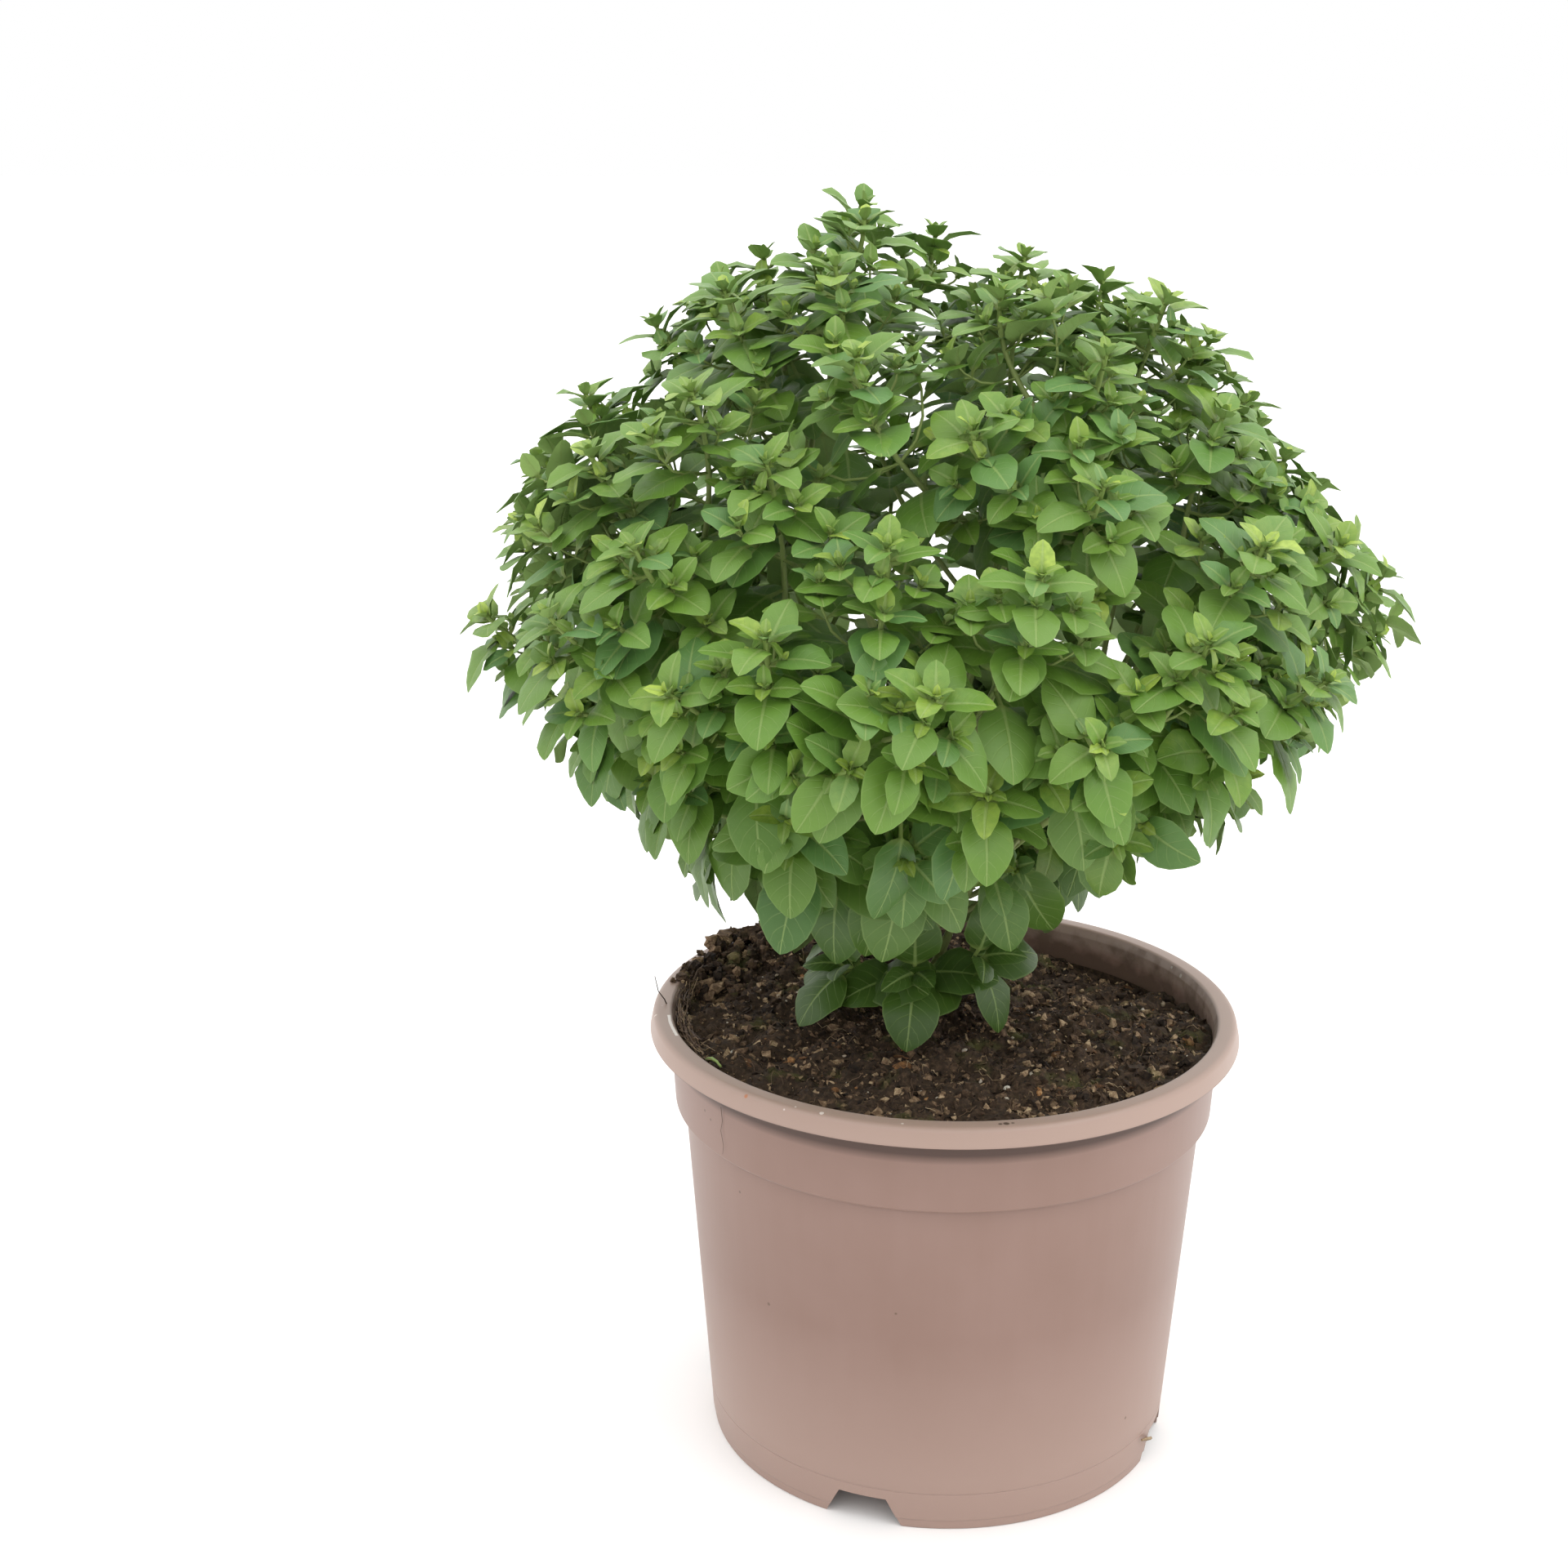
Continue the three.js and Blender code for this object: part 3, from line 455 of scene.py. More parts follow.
print("trunk is", round(2000 * trunk_radius(TRUNK_SWELL_HEIGHT), 1), "mm thick at its swelling")

# %% Stems
STEM_SET_OFF = 0.18
STEM_ARCH = 0.45
STEM_STEPS = 26


class Stem:
    """A stem that sets off from its foot and arches into the direction of its tip."""

    def __init__(self, tip, foot, set_off, right, foot_radius, tip_radius, rooted_at):
        reach = (tip.point - foot).length
        first_bend = foot + set_off * STEM_SET_OFF * reach
        last_bend = tip.point - tip.direction * STEM_ARCH * reach
        curve = geometry.interpolate_bezier(foot, first_bend, last_bend, tip.point, STEM_STEPS + 1)
        self.points = [Vector(point) for point in curve]
        self.distances = [0]
        for before, after in zip(self.points, self.points[1:]):
            self.distances.append(self.distances[-1] + (after - before).length)
        self.length = self.distances[-1]
        self.tip = tip
        self.right = right
        self.foot_radius = foot_radius
        self.tip_radius = tip_radius
        self.rooted_at = rooted_at

    def section(self, distance):
        """The middle, forward direction, four side directions and radius at a distance from the foot."""
        step = next((i for i, end in enumerate(self.distances[1:]) if end >= distance), STEM_STEPS - 1)
        span = self.distances[step + 1] - self.distances[step]
        middle = self.points[step].lerp(self.points[step + 1], (distance - self.distances[step]) / span)
        forward = (self.points[step + 1] - self.points[step]).normalized()
        right = (self.right - forward * self.right.dot(forward)).normalized()
        top = forward.cross(right)
        radius = between(distance / self.length, self.foot_radius, self.tip_radius)
        return middle, forward, [-top, right, top, -right], radius


print("each stem has", STEM_STEPS, "steps")

# %% Branches and twigs
SEAT_GAP = 0.3 * MM
BRANCH_COUNT = 13
BRANCH_TURN = math.radians(-29)
LOWEST_BRANCH = 112 * MM
BRANCH_CLIMB = 1.1
BRANCH_FOOT_RADIUS = 1.25 * MM
BRANCH_TIP_RADIUS = 0.55 * MM
TWIG_FOOT_RADIUS = 0.7 * MM
TWIG_TIP_RADIUS = 0.5 * MM
TWIG_OPENING = 0.9
SLOPING_FOOT_ROOM = 0.8
FIRST_TWIG = 0.34
LAST_TWIG = 0.8


def make_branch(number, height, served):
    """The leader of a branch, which starts in the trunk's side and reaches for the first of its tips."""
    base = trunk_point(height)
    outward = served[0].point - base
    outward = Vector((outward.x, outward.y, 0)).normalized()
    clear = trunk_radius(height) + SEAT_GAP + SLOPING_FOOT_ROOM * BRANCH_FOOT_RADIUS
    if number == 0:
        foot, set_off, right = TRUNK_TOP + UP * SEAT_GAP, UP, UP.cross(Vector((1, 0, 0)))
    else:
        set_off = (outward + UP * BRANCH_CLIMB).normalized()
        foot, right = base + outward * clear, UP.cross(outward)
    return Stem(served[0], foot, set_off, right, BRANCH_FOOT_RADIUS, BRANCH_TIP_RADIUS, base)


def make_twig(branch, tip, at):
    """A twig that leaves the side of its branch that faces its way."""
    middle, forward, sides, radius = branch.section(at)
    aim = tip.point - tip.direction * STEM_ARCH * (tip.point - middle).length - middle
    outward = max(sides, key=lambda side: side.dot(aim))
    set_off = (outward * TWIG_OPENING + forward).normalized()
    foot = middle + outward * radius
    return Stem(tip, foot, set_off, forward.cross(outward), TWIG_FOOT_RADIUS, TWIG_TIP_RADIUS, middle)


def grow_branches():
    """For each branch, the list of its stems: its leader and then its twigs."""
    places = [crown_place(share, spiral_bearing(i) + BRANCH_TURN)[0]
              for i, share in enumerate(even_shares(BRANCH_COUNT))]
    groups = [[] for place in places]
    for tip in tips:
        distances = [(place - tip.point).length for place in places]
        groups[distances.index(min(distances))].append(tip)
    branches = []
    for i, group in enumerate(groups):
        group.sort(key=lambda tip: (tip.point - places[i]).length)
        height = between((BRANCH_COUNT - 1 - i) / (BRANCH_COUNT - 1), LOWEST_BRANCH, TRUNK_TOP.z)
        leader = make_branch(i, height, group)
        shares = [between(k / (len(group) - 1), LAST_TWIG, FIRST_TWIG) for k in range(len(group) - 1)]
        twigs = [make_twig(leader, tip, share * leader.length) for tip, share in zip(group[1:], shares)]
        branches.append([leader, *twigs])
    return branches


branches = grow_branches()
print("stems on each branch:", [len(branch) for branch in branches])

# %% Low shoots
LOW_SHOOT_BEARINGS = [-142, -92, -46, 70, 142]
LOW_SHOOT_HEIGHT = 108 * MM
LOW_SHOOT_STEP = 1.4 * MM
LOW_SHOOT_REACH = 19 * MM
LOW_SHOOT_LIFT = 12 * MM
LOW_SHOOT_CLIMB = 0.35


def make_low_shoot(number, bearing):
    outward = level(math.radians(bearing))
    height = LOW_SHOOT_HEIGHT + number * LOW_SHOOT_STEP
    base = trunk_point(height)
    foot = base + outward * (trunk_radius(height) + SEAT_GAP + SLOPING_FOOT_ROOM * TWIG_FOOT_RADIUS)
    point = foot + outward * LOW_SHOOT_REACH + UP * LOW_SHOOT_LIFT
    tip = Tip(SHOOT_COUNT + len(STRAY_SHOOTS) + number, point, outward + UP * LOW_SHOOT_CLIMB)
    set_off = (outward + UP).normalized()
    return [Stem(tip, foot, set_off, UP.cross(outward), TWIG_FOOT_RADIUS, TWIG_TIP_RADIUS, base)]


low_shoots = [make_low_shoot(number, bearing) for number, bearing in enumerate(LOW_SHOOT_BEARINGS)]
print("low shoots:", len(low_shoots), "lowest foot at", round(low_shoots[0][0].points[0].z, 4))

# %% [markdown]
# ## Where the leaves grow
#
# A shoot's tip is a rosette of tiny, yellow-green leaves. Further down, the leaves are older: longer,
# wider, darker, on longer stalks, and opened until they stand out level or hang. So one list, from the tip
# down, tells the whole life of a leaf. In the corners above most of the older leaves grow side shoots with
# a few pairs of small leaves, which is what makes the bush so dense. Near the trunk the leaves have
# dropped. The leaves could be scattered on the stems by nodes alone, but then they wouldn't stand in pairs.
# So each leaf is kept as one point with its measures, and Geometry Nodes will make the blades from those.

# %% The life of a leaf
LEAF_AGES = [
    # distance from the tip, length with stalk, width, opening in degrees, share of stalk
    (0.2, 2.6, 1.1, 28, 0.04),
    (0.6, 4.6, 2.2, 46, 0.07),
    (1.6, 8.2, 4.6, 62, 0.10),
    (3.8, 12.0, 7.2, 71, 0.14),
    (7.4, 15.2, 9.2, 77, 0.17),
    (12.2, 17.8, 10.7, 81, 0.19),
    (18.2, 19.4, 11.6, 84, 0.20),
    (25.4, 20.4, 12.2, 87, 0.21),
    (33.5, 20.4, 12.2, 90, 0.22),
    (41, 20, 12.0, 94, 0.23),
]
LOW_LEAF_AGES = [
    # the same for a low shoot, which has stopped growing
    (0.5, 9.0, 5.0, 30, 0.1),
    (3, 16.5, 11.5, 52, 0.18),
    (10, 20, 13.8, 70, 0.2),
]
LEAST_FOOT_LENGTH = 4 * MM
OLDEST_PAIR = len(LEAF_AGES) - 1
SIDE_SHOOTS = {
    # place in the list above: how far the side shoots in the corners of that pair reach sideways and rise
    # along their stem, and their pairs of leaves
    4: (3 * MM, 1.5 * MM, 2),
    5: (8 * MM, 5 * MM, 3),
    6: (12 * MM, 9 * MM, 4),
    7: (15 * MM, 14 * MM, 4),
}
LONGEST_REACH = 15 * MM
WEAK_SIDE_HEIGHT = 150 * MM
STRONG_SIDE_HEIGHT = 215 * MM
WEAKEST_SIDE_SHOOT = 0.3
SIDE_SHOOT_LIFT = 0.15
SIDE_SHOOT_BEND = 0.6
SIDE_SHOOT_GROWTH = (0.75, 1.15)
SIDE_SHOOT_RADIUS = 0.38 * MM
SIDE_SHOOT_TAPER = 0.4
SIDE_SHOOT_STEPS = 4
SIDE_STEM_AGE = 0.2
LEAST_SIDE_SIZE = 0.66
SIDE_STALK = 0.14
SIDE_AXIS_FROM = 0.9
SIDE_KEYS_FROM = 100
YOUNGEST_SIDE_AGE, SIDE_AGE_STEP = 0.1, 0.13
SIDE_PAIRS = [
    # from the side shoot's tip down: length, width, lean from its axis, place on it
    (3.4, 1.4, 0.5, 1.0),
    (7.0, 3.8, 1.2, 0.96),
    (11.0, 6.6, 2.3, 0.86),
    (14.0, 8.6, 3.2, 0.64),
]
SIZE_SCATTER = 0.12
TURN_SCATTER = math.radians(16)
OPENING_SCATTER = math.radians(9)
FULL_SIZE_HEIGHT = 160 * MM
SMALL_SIZE_HEIGHT = 240 * MM
LOWEST_SIZE = 1.04
HIGHEST_SIZE = 0.9
FIRM_HEIGHT = 240 * MM
LEAST_DROOP = 0.35
ARCHES = (0.12, 0.38)
DROOPS, DROOP_BY_AGE = (0.02, 0.22), 0.16
FOLDS, FOLD_LOSS_BY_AGE = (0.55, 0.9), 0.45
MOST_SWEEP = 0.07
MOST_TWIST = 0.28
ROOT_SINK = 0.4
FACE_LIFT = 0.7
NO_HANG_HEIGHT = 200 * MM
HANG_RANGE = 80 * MM
MOST_HANG = 0.6
LOW_SHOOT_HANG = 0.02
LOW_SHOOT_AGE = 0.75
BARE_REACH, LOW_BARE_REACH = 15 * MM, 27 * MM
BARE_FROM, BARE_TO = 172 * MM, 138 * MM
LOW_LEAF_LOSS = 0.45


def size_at_height(height):
    """How large the leaves of a shoot are beside the list: the lower the shoot, the larger."""
    share = (height - FULL_SIZE_HEIGHT) / (SMALL_SIZE_HEIGHT - FULL_SIZE_HEIGHT)
    return between(min(max(share, 0), 1), LOWEST_SIZE, HIGHEST_SIZE)


def hang_at_height(height):
    """How much a leaf's own weight pulls it down, beside the length of its direction."""
    if height < LOW_SHOOT_HEIGHT + 2 * LOW_SHOOT_LIFT:
        return LOW_SHOOT_HANG
    return min(max((NO_HANG_HEIGHT - height) / HANG_RANGE, 0), MOST_HANG)


def leaf_measures(root, along, forward, length, width, stalk, age, number, key):
    """Everything that shapes one leaf, by the names that the node tree reads."""
    face = forward + UP * FACE_LIFT
    face = (face - along * face.dot(along)).normalized()
    firmness = min(max((root.z - FULL_SIZE_HEIGHT) / (FIRM_HEIGHT - FULL_SIZE_HEIGHT), 0), 1)
    droop = between(draw(number, key, 23), *DROOPS) + DROOP_BY_AGE * age
    return {
        "root": root,
        "along": along,
        "face": face,
        "length": length,
        "width": width,
        "stalk": stalk,
        "age": age,
        "tint": draw(number, key, 21),
        "arch": between(draw(number, key, 22), *ARCHES),
        "droop": droop * between(firmness, 1, LEAST_DROOP),
        "fold": between(draw(number, key, 24), *FOLDS) - FOLD_LOSS_BY_AGE * age,
        "sweep": MOST_SWEEP * either_way(number, key, 25),
        "twist": MOST_TWIST * either_way(number, key, 26),
    }


def grow_pair(stem, pair, ages):
    """The two leaves of a pair, with the side shoots in their corners: lists of stem lines and of leaves."""
    from_tip, length, width, opening, stalk = ages[pair]
    middle, forward, sides, radius = stem.section(stem.length - from_tip * MM)
    number = stem.tip.number
    height = stem.tip.point.z
    lines, leaves = [], []
    for side in (pair % 2 + 1, (pair % 2 + 3) % 4):
        key = 10 * pair + side
        turn = Quaternion(forward, TURN_SCATTER * either_way(number, key, 11))
        outward = turn @ sides[side]
        open_by = math.radians(opening) + OPENING_SCATTER * either_way(number, key, 12)
        along = forward * math.cos(open_by) + outward * math.sin(open_by) - UP * hang_at_height(height)
        along.normalize()
        size = size_at_height(height) * (1 + SIZE_SCATTER * either_way(number, key, 13))
        root = middle + outward * radius * ROOT_SINK
        age = pair / OLDEST_PAIR if ages is LEAF_AGES else LOW_SHOOT_AGE
        leaves.append(leaf_measures(
            root, along, forward, length * MM * size, width * MM * size, stalk, age, number, key))
        if pair in SIDE_SHOOTS and ages is LEAF_AGES:
            line, small_leaves = side_shoot(root, forward, outward, *SIDE_SHOOTS[pair], number, key)
            lines.append(line)
            leaves += small_leaves
    return lines, leaves


def side_shoot(root, forward, outward, reach, rise, pairs, number, key):
    """The shoot in the corner above an old leaf: it sets off sideways and bends up along its stem."""
    strength = (root.z - WEAK_SIDE_HEIGHT) / (STRONG_SIDE_HEIGHT - WEAK_SIDE_HEIGHT)
    luck = between(draw(number, key, 31), *SIDE_SHOOT_GROWTH)
    grown = between(min(max(strength, 0), 1), WEAKEST_SIDE_SHOOT, 1) * luck
    size = between(reach / LONGEST_REACH, LEAST_SIDE_SIZE, 1) * grown ** 0.5 * size_at_height(root.z)
    up = forward + UP * SIDE_SHOOT_LIFT

    def place_at(share):
        """The side shoot's place at a share of its length. It goes out fast at first, and later upwards."""
        out = outward * reach * grown * share * (1 + SIDE_SHOOT_BEND - SIDE_SHOOT_BEND * share)
        return root + out + up * rise * grown * share ** 2

    leaves = []
    axis = (place_at(1) - place_at(SIDE_AXIS_FROM)).normalized()
    across = axis.cross(outward).normalized()
    for pair, (leaf_length, leaf_width, lean, place) in enumerate(SIDE_PAIRS[:pairs]):
        for side in (-1, 1):
            along = (axis + across * lean * side).normalized()
            leaves.append(leaf_measures(
                place_at(place), along, axis, leaf_length * MM * size, leaf_width * MM * size, SIDE_STALK,
                YOUNGEST_SIDE_AGE + SIDE_AGE_STEP * pair, number, key + SIDE_KEYS_FROM + 10 * pair + side))
        across = axis.cross(across)
    shares = [step / SIDE_SHOOT_STEPS for step in range(SIDE_SHOOT_STEPS + 1)]
    line = [(place_at(share), SIDE_SHOOT_RADIUS * (1 - SIDE_SHOOT_TAPER * share), SIDE_STEM_AGE)
            for share in shares]
    return line, leaves


def keeps_leaves(stem, distance, pair, ages):
    """Old leaves have dropped near the trunk, and some low in the crown. None grow where a stem sets off."""
    place = stem.section(distance)[0]
    lowness = min(max((BARE_FROM - place.z) / (BARE_FROM - BARE_TO), 0), 1)
    is_bare = (place - trunk_point(place.z)).to_2d().length < between(lowness, BARE_REACH, LOW_BARE_REACH)
    has_dropped = draw(stem.tip.number, pair, 27) < LOW_LEAF_LOSS * lowness
    return distance > LEAST_FOOT_LENGTH and (ages is LOW_LEAF_AGES or not (is_bare or has_dropped))


def grow_leaves(stem, ages):
    """All that grows on a stem: lists of side stem lines and of leaves."""
    lines, leaves = [], []
    for pair, row in enumerate(ages):
        if keeps_leaves(stem, max(stem.length - row[0] * MM, 0), pair, ages):
            more_lines, more_leaves = grow_pair(stem, pair, ages)
            lines += more_lines
            leaves += more_leaves
    return lines, leaves


leaf_count = sum(len(grow_leaves(stem, LEAF_AGES)[1]) for branch in branches for stem in branch)
print("leaves on the branches:", leaf_count)

# %% [markdown]
# ## The node tree of a leafy stem
#
# The tree gets a bare mesh: joined points along each stem, and one loose point for each leaf. Stems become
# six-sided tubes. A ready-made leaf could be put at each point and turned its way, but every leaf would then
# bend alike. So the tree puts a flat, closed slab at each point, of one of four kinds, from a coarse one for
# the tiniest leaves to a fine one for the largest. It makes the copies real and then moves every corner to
# its place on its own leaf: out along the blade, across it by an egg-shaped outline with a sharp tip, and up
# or down by the fold, the arch and the droop.

# %% Geometry Nodes helpers


class Growth(Sheet):
    """The sheet of a Geometry Nodes tree, with its named inputs."""

    def __init__(self, name, inputs):
        super().__init__(bpy.data.node_groups.new(name, "GeometryNodeTree"))
        face = self.tree.interface
        face.new_socket("Geometry", in_out="INPUT", socket_type="NodeSocketGeometry")
        face.new_socket("Geometry", in_out="OUTPUT", socket_type="NodeSocketGeometry")
        for title, (kind, value) in inputs.items():
            socket = face.new_socket(title, in_out="INPUT", socket_type=f"NodeSocket{kind}")
            if value is not None:
                socket.default_value = value
        self.given = self.node("NodeGroupInput")

    def result(self, geometry):
        self.plug(self.tree.nodes.new("NodeGroupOutput").inputs[0], geometry)

    def read(self, name, kind="FLOAT"):
        return self.node("GeometryNodeInputNamedAttribute", {"data_type": kind}, {"Name": name})

    def store(self, geometry, name, value, kind="FLOAT", domain="POINT"):
        settings = {"data_type": kind, "domain": domain}
        sockets = {"Geometry": geometry, "Name": name, "Value": value}
        return self.node("GeometryNodeStoreNamedAttribute", settings, sockets)

    def join(self, *parts):
        joined = self.node("GeometryNodeJoinGeometry")
        for part in parts:
            self.tree.links.new(part.socket, joined.socket.node.inputs[0])
        return joined

    def draw(self, low, high, seed, kind="FLOAT"):
        sockets = {"Min": low, "Max": high, "Seed": seed}
        return self.node("FunctionNodeRandomValue", {"data_type": kind}, sockets)


def run_nodes(name, start, growth, inputs):
    """Runs a tree on a starting mesh and keeps what it makes as a plain mesh."""
    piece = bpy.data.objects.new(name, start)
    bpy.context.scene.collection.objects.link(piece)
    modifier = piece.modifiers.new("growth", "NODES")
    modifier.node_group = growth.tree
    items = growth.tree.interface.items_tree
    identifiers = {item.name: item.identifier for item in items if item.in_out == "INPUT"}
    for title, value in inputs.items():
        modifier[identifiers[title]] = value
    graph = bpy.context.evaluated_depsgraph_get()
    mesh = bpy.data.meshes.new_from_object(
        piece.evaluated_get(graph), preserve_all_data_layers=True, depsgraph=graph)
    piece.modifiers.clear()
    piece.data = mesh
    return piece


def triangle_count(piece):
    return sum(len(polygon.vertices) - 2 for polygon in piece.data.polygons)


print("helpers for Geometry Nodes are ready")

# %% Leaf slab
SLABS = [
    # corners across, corners along, shortest leaf that gets this slab
    (3, 5, 0),
    (3, 7, 5.5 * MM),
    (5, 8, 9 * MM),
    (5, 11, 14 * MM),
]
SHARP_ANGLE = math.radians(45)
SLAB_MERGE = 0.01


def leaf_slab(growth, corners, rows):
    """A closed slab for one leaf. Across it runs from -1 to 1. Along it, the stalk runs from -1 to 0 and the
    blade from 0 to 1, with its rows closer together at both ends. The upper face is at 1 and the lower at -1.
    Both meet in a sharp rim at 0."""
    slab = growth.node("GeometryNodeMeshCube", {}, {
        "Size": (2, rows - 1, 2), "Vertices X": corners, "Vertices Y": rows, "Vertices Z": 2})
    smooth = growth.node("GeometryNodeSetShadeSmooth", {"domain": "FACE"}, {
        "Geometry": slab, "Shade Smooth": True})
    angle = growth.node("GeometryNodeInputMeshEdgeAngle")
    creased = growth.node("GeometryNodeSetShadeSmooth", {"domain": "EDGE"}, {
        "Geometry": smooth, "Selection": angle > SHARP_ANGLE, "Shade Smooth": False})
    across, row, side = growth.split(growth.node("GeometryNodeInputPosition"))
    at_rim = (abs(across) > 1 - SLAB_MERGE) + (abs(row) > (rows - 1) / 2 - SLAB_MERGE)
    pinched = growth.node("GeometryNodeSetPosition", {}, {
        "Geometry": creased, "Selection": at_rim > 0,
        "Position": growth.node("ShaderNodeCombineXYZ", {}, {"X": across, "Y": row, "Z": 0})})
    closed = growth.node("GeometryNodeMergeByDistance", {}, {"Geometry": pinched, "Distance": SLAB_MERGE})
    from_root = row + (rows - 1) / 2
    in_stalk = growth.maths("MINIMUM", from_root - 1, 0)
    in_blade = growth.maths("MAXIMUM", from_root - 1, 0) / (rows - 2)
    eased = 0.5 - 0.5 * growth.maths("COSINE", in_blade * math.pi)
    place = growth.node("ShaderNodeCombineXYZ", {}, {"X": across, "Y": in_stalk + eased, "Z": side})
    return growth.store(closed, "blade", place, "FLOAT_VECTOR")


print("corners on a slab:", [corners * rows * 2 for corners, rows, shortest in SLABS])

# %% Leaf shape
WIDEST_PLACE = 0.46
ROOT_ROUNDNESS = 0.63
TIP_ROUNDNESS = ROOT_ROUNDNESS * (1 - WIDEST_PLACE) / WIDEST_PLACE
THINNING = 0.6
STALK_FLARE, STALK_TAPER = 0.55, 0.45
STALK_END = 5
CUPPING = 0.35
RIPPLE, RIPPLE_TURNS, RIPPLE_SHIFT = 0.1, 11, 40


def leaf_place(growth):
    """Where a slab's corner lies on its leaf, and its place on the flat blade in metres."""
    across, along_blade, side = growth.split(growth.read("blade", "FLOAT_VECTOR"))
    in_blade = growth.maths("MAXIMUM", along_blade, 0)
    in_stalk = growth.maths("MINIMUM", along_blade, 0)
    stalk = growth.read("stalk")
    share = stalk * (1 + in_stalk) + (1 - stalk) * in_blade
    length = growth.read("length")
    stalk_width = growth.given.out("Stalk width")
    outline = (in_blade / WIDEST_PLACE) ** ROOT_ROUNDNESS
    outline = outline * ((1 - in_blade) / (1 - WIDEST_PLACE)) ** TIP_ROUNDNESS
    half = growth.read("width") * outline / 2 + stalk_width * (STALK_FLARE - STALK_TAPER * in_blade)
    fold = growth.read("fold") * abs(across) - CUPPING * across * across
    wave = growth.maths("SINE", in_blade * RIPPLE_TURNS + growth.read("tint") * RIPPLE_SHIFT)
    ripple = RIPPLE * wave * across * across
    bend = length * (growth.read("arch") * share * (1 - share) - growth.read("droop") * share * share)
    lift = bend + half * (fold + ripple + growth.read("twist") * across * share) * outline
    blade_share = growth.clamp(in_blade * STALK_END)
    thickness = stalk_width * (1 - blade_share) + growth.given.out("Blade thickness") * blade_share
    height = lift + side * thickness / 2 * (1 - THINNING * across * across)
    sideways = across * half + growth.read("sweep") * length * share * share
    along, face = growth.read("along", "FLOAT_VECTOR"), growth.read("face", "FLOAT_VECTOR")
    right = growth.maths("CROSS_PRODUCT", along, face)
    place = growth.read("root", "FLOAT_VECTOR") + along * (length * share) + right * sideways + face * height
    return place, growth.node("ShaderNodeCombineXYZ", {}, {"X": across * half, "Y": length * share, "Z": 0})


print("the blade is widest at", WIDEST_PLACE, "of its length")

# %% Tree of a leafy stem


def leafy_stem_tree():
    growth = Growth("Leafy stem", {
        "Blade thickness": ("Float", 0.3 * MM),
        "Stalk width": ("Float", 1.0 * MM),
        "Stem sides": ("Int", 6),
        "Leaf finish": ("Material", None),
        "Stem finish": ("Material", None),
    })
    parts = growth.node("GeometryNodeSeparateGeometry", {}, {
        "Geometry": growth.given.out("Geometry"), "Selection": growth.read("length") > 0})
    slabs = [growth.node("GeometryNodeGeometryToInstance", {}, {0: leaf_slab(growth, corners, rows)})
             for corners, rows, shortest in SLABS]
    fineness = sum(growth.read("length") > shortest for corners, rows, shortest in SLABS[1:])
    leaves = growth.node("GeometryNodeInstanceOnPoints", {}, {
        "Points": parts, "Instance": growth.join(*reversed(slabs)), "Pick Instance": True,
        "Instance Index": fineness})
    leaves = growth.node("GeometryNodeRealizeInstances", {}, {"Geometry": leaves})
    place, flat = leaf_place(growth)
    leaves = growth.store(leaves, "flat", flat, "FLOAT_VECTOR")
    leaves = growth.node("GeometryNodeSetPosition", {}, {"Geometry": leaves, "Position": place})
    leaves = growth.node("GeometryNodeSetMaterial", {}, {
        "Geometry": leaves, "Material": growth.given.out("Leaf finish")})
    line = growth.node("GeometryNodeMeshToCurve", {}, {"Mesh": parts.out("Inverted")})
    ring = growth.node("GeometryNodeCurvePrimitiveCircle", {}, {
        "Resolution": growth.given.out("Stem sides"), "Radius": 1})
    stems = growth.node("GeometryNodeCurveToMesh", {}, {
        "Curve": line, "Profile Curve": ring, "Scale": growth.read("radius"), "Fill Caps": True})
    stems = growth.node("GeometryNodeSetMaterial", {}, {
        "Geometry": stems, "Material": growth.given.out("Stem finish")})
    growth.result(growth.join(stems, leaves))
    return growth


leafy_stem = leafy_stem_tree()
print("nodes in the tree:", len(leafy_stem.tree.nodes))

# %% [markdown]
# ## Leaf and stem finishes
#
# A basil leaf is not one green. Its colour runs from yellow-green in the youngest leaves to a deep green in
# the old ones, and painted shade makes it deepest low in the crown. Some are cooler and some warmer, with a
# pale midrib, fainter side veins, a thin light edge and a matt, paler back. Photographs of leaves could be
# mapped on the blades, but all would look alike. Worked out from the place on the blade, the finish follows
# every leaf and no two match. The skin is finely bumpy, so the gloss is soft, and the veins also go into the
# bump. The stems are a paler, streaked green that turns brown with age.

# %% Leaf finish
LEAF_GREENS = [
    (0.0, paint("a1b84c")),
    (0.12, paint("7f993b")),
    (0.3, paint("628530")),
    (0.65, paint("5a7f2c")),
    (1.0, paint("4f7326")),
]
COOL_GREEN = paint("4d7748")
WARM_GREEN = paint("6f8c24")
# painted shade: leaves low in the crown are painted a deeper green, standing in for the shade they lie in
LOW_SHADE_GREEN = paint("324d10")
LOW_SHADE_FROM, LOW_SHADE_TO = 182 * MM, 124 * MM
RIB_GREEN = paint("8da35e")
BACK_GREEN = paint("97b26b")
STALK_GREEN = paint("829550")
# shares of the cool and warm greens, of the painted shade low in the crown, and of the paler back
COOL_SHARE, WARM_SHARE, LOW_SHADE_SHARE, BACK_SHARE = 0.6, 0.4, 0.9, 0.7
RIB_SHARE, VEIN_SHARE, EDGE_SHARE, SPECK_SHARE = 0.5, 0.26, 0.25, 0.2
RIB_HALF_WIDTH = 0.28 * MM
RIB_EDGE, RIB_TAPER = 1.6, 1.35
VEIN_PAIRS = 6
VEIN_SLANT = 1.7
VEIN_SHARPNESS, VEIN_START, VEIN_FADE = 16, 6.9, 1.2
EDGE_SHARPNESS, EDGE_START = 14, 13
SPECK_SCALE, SPECK_SHARPNESS = 1300, 6
STALK_FADE = 9
MOTTLE_SCALE, PATCH_SCALE = 700, 110
TINT_PULL, MOTTLE_PULL, PATCH_PULL = 0.3, 0.25, 0.3
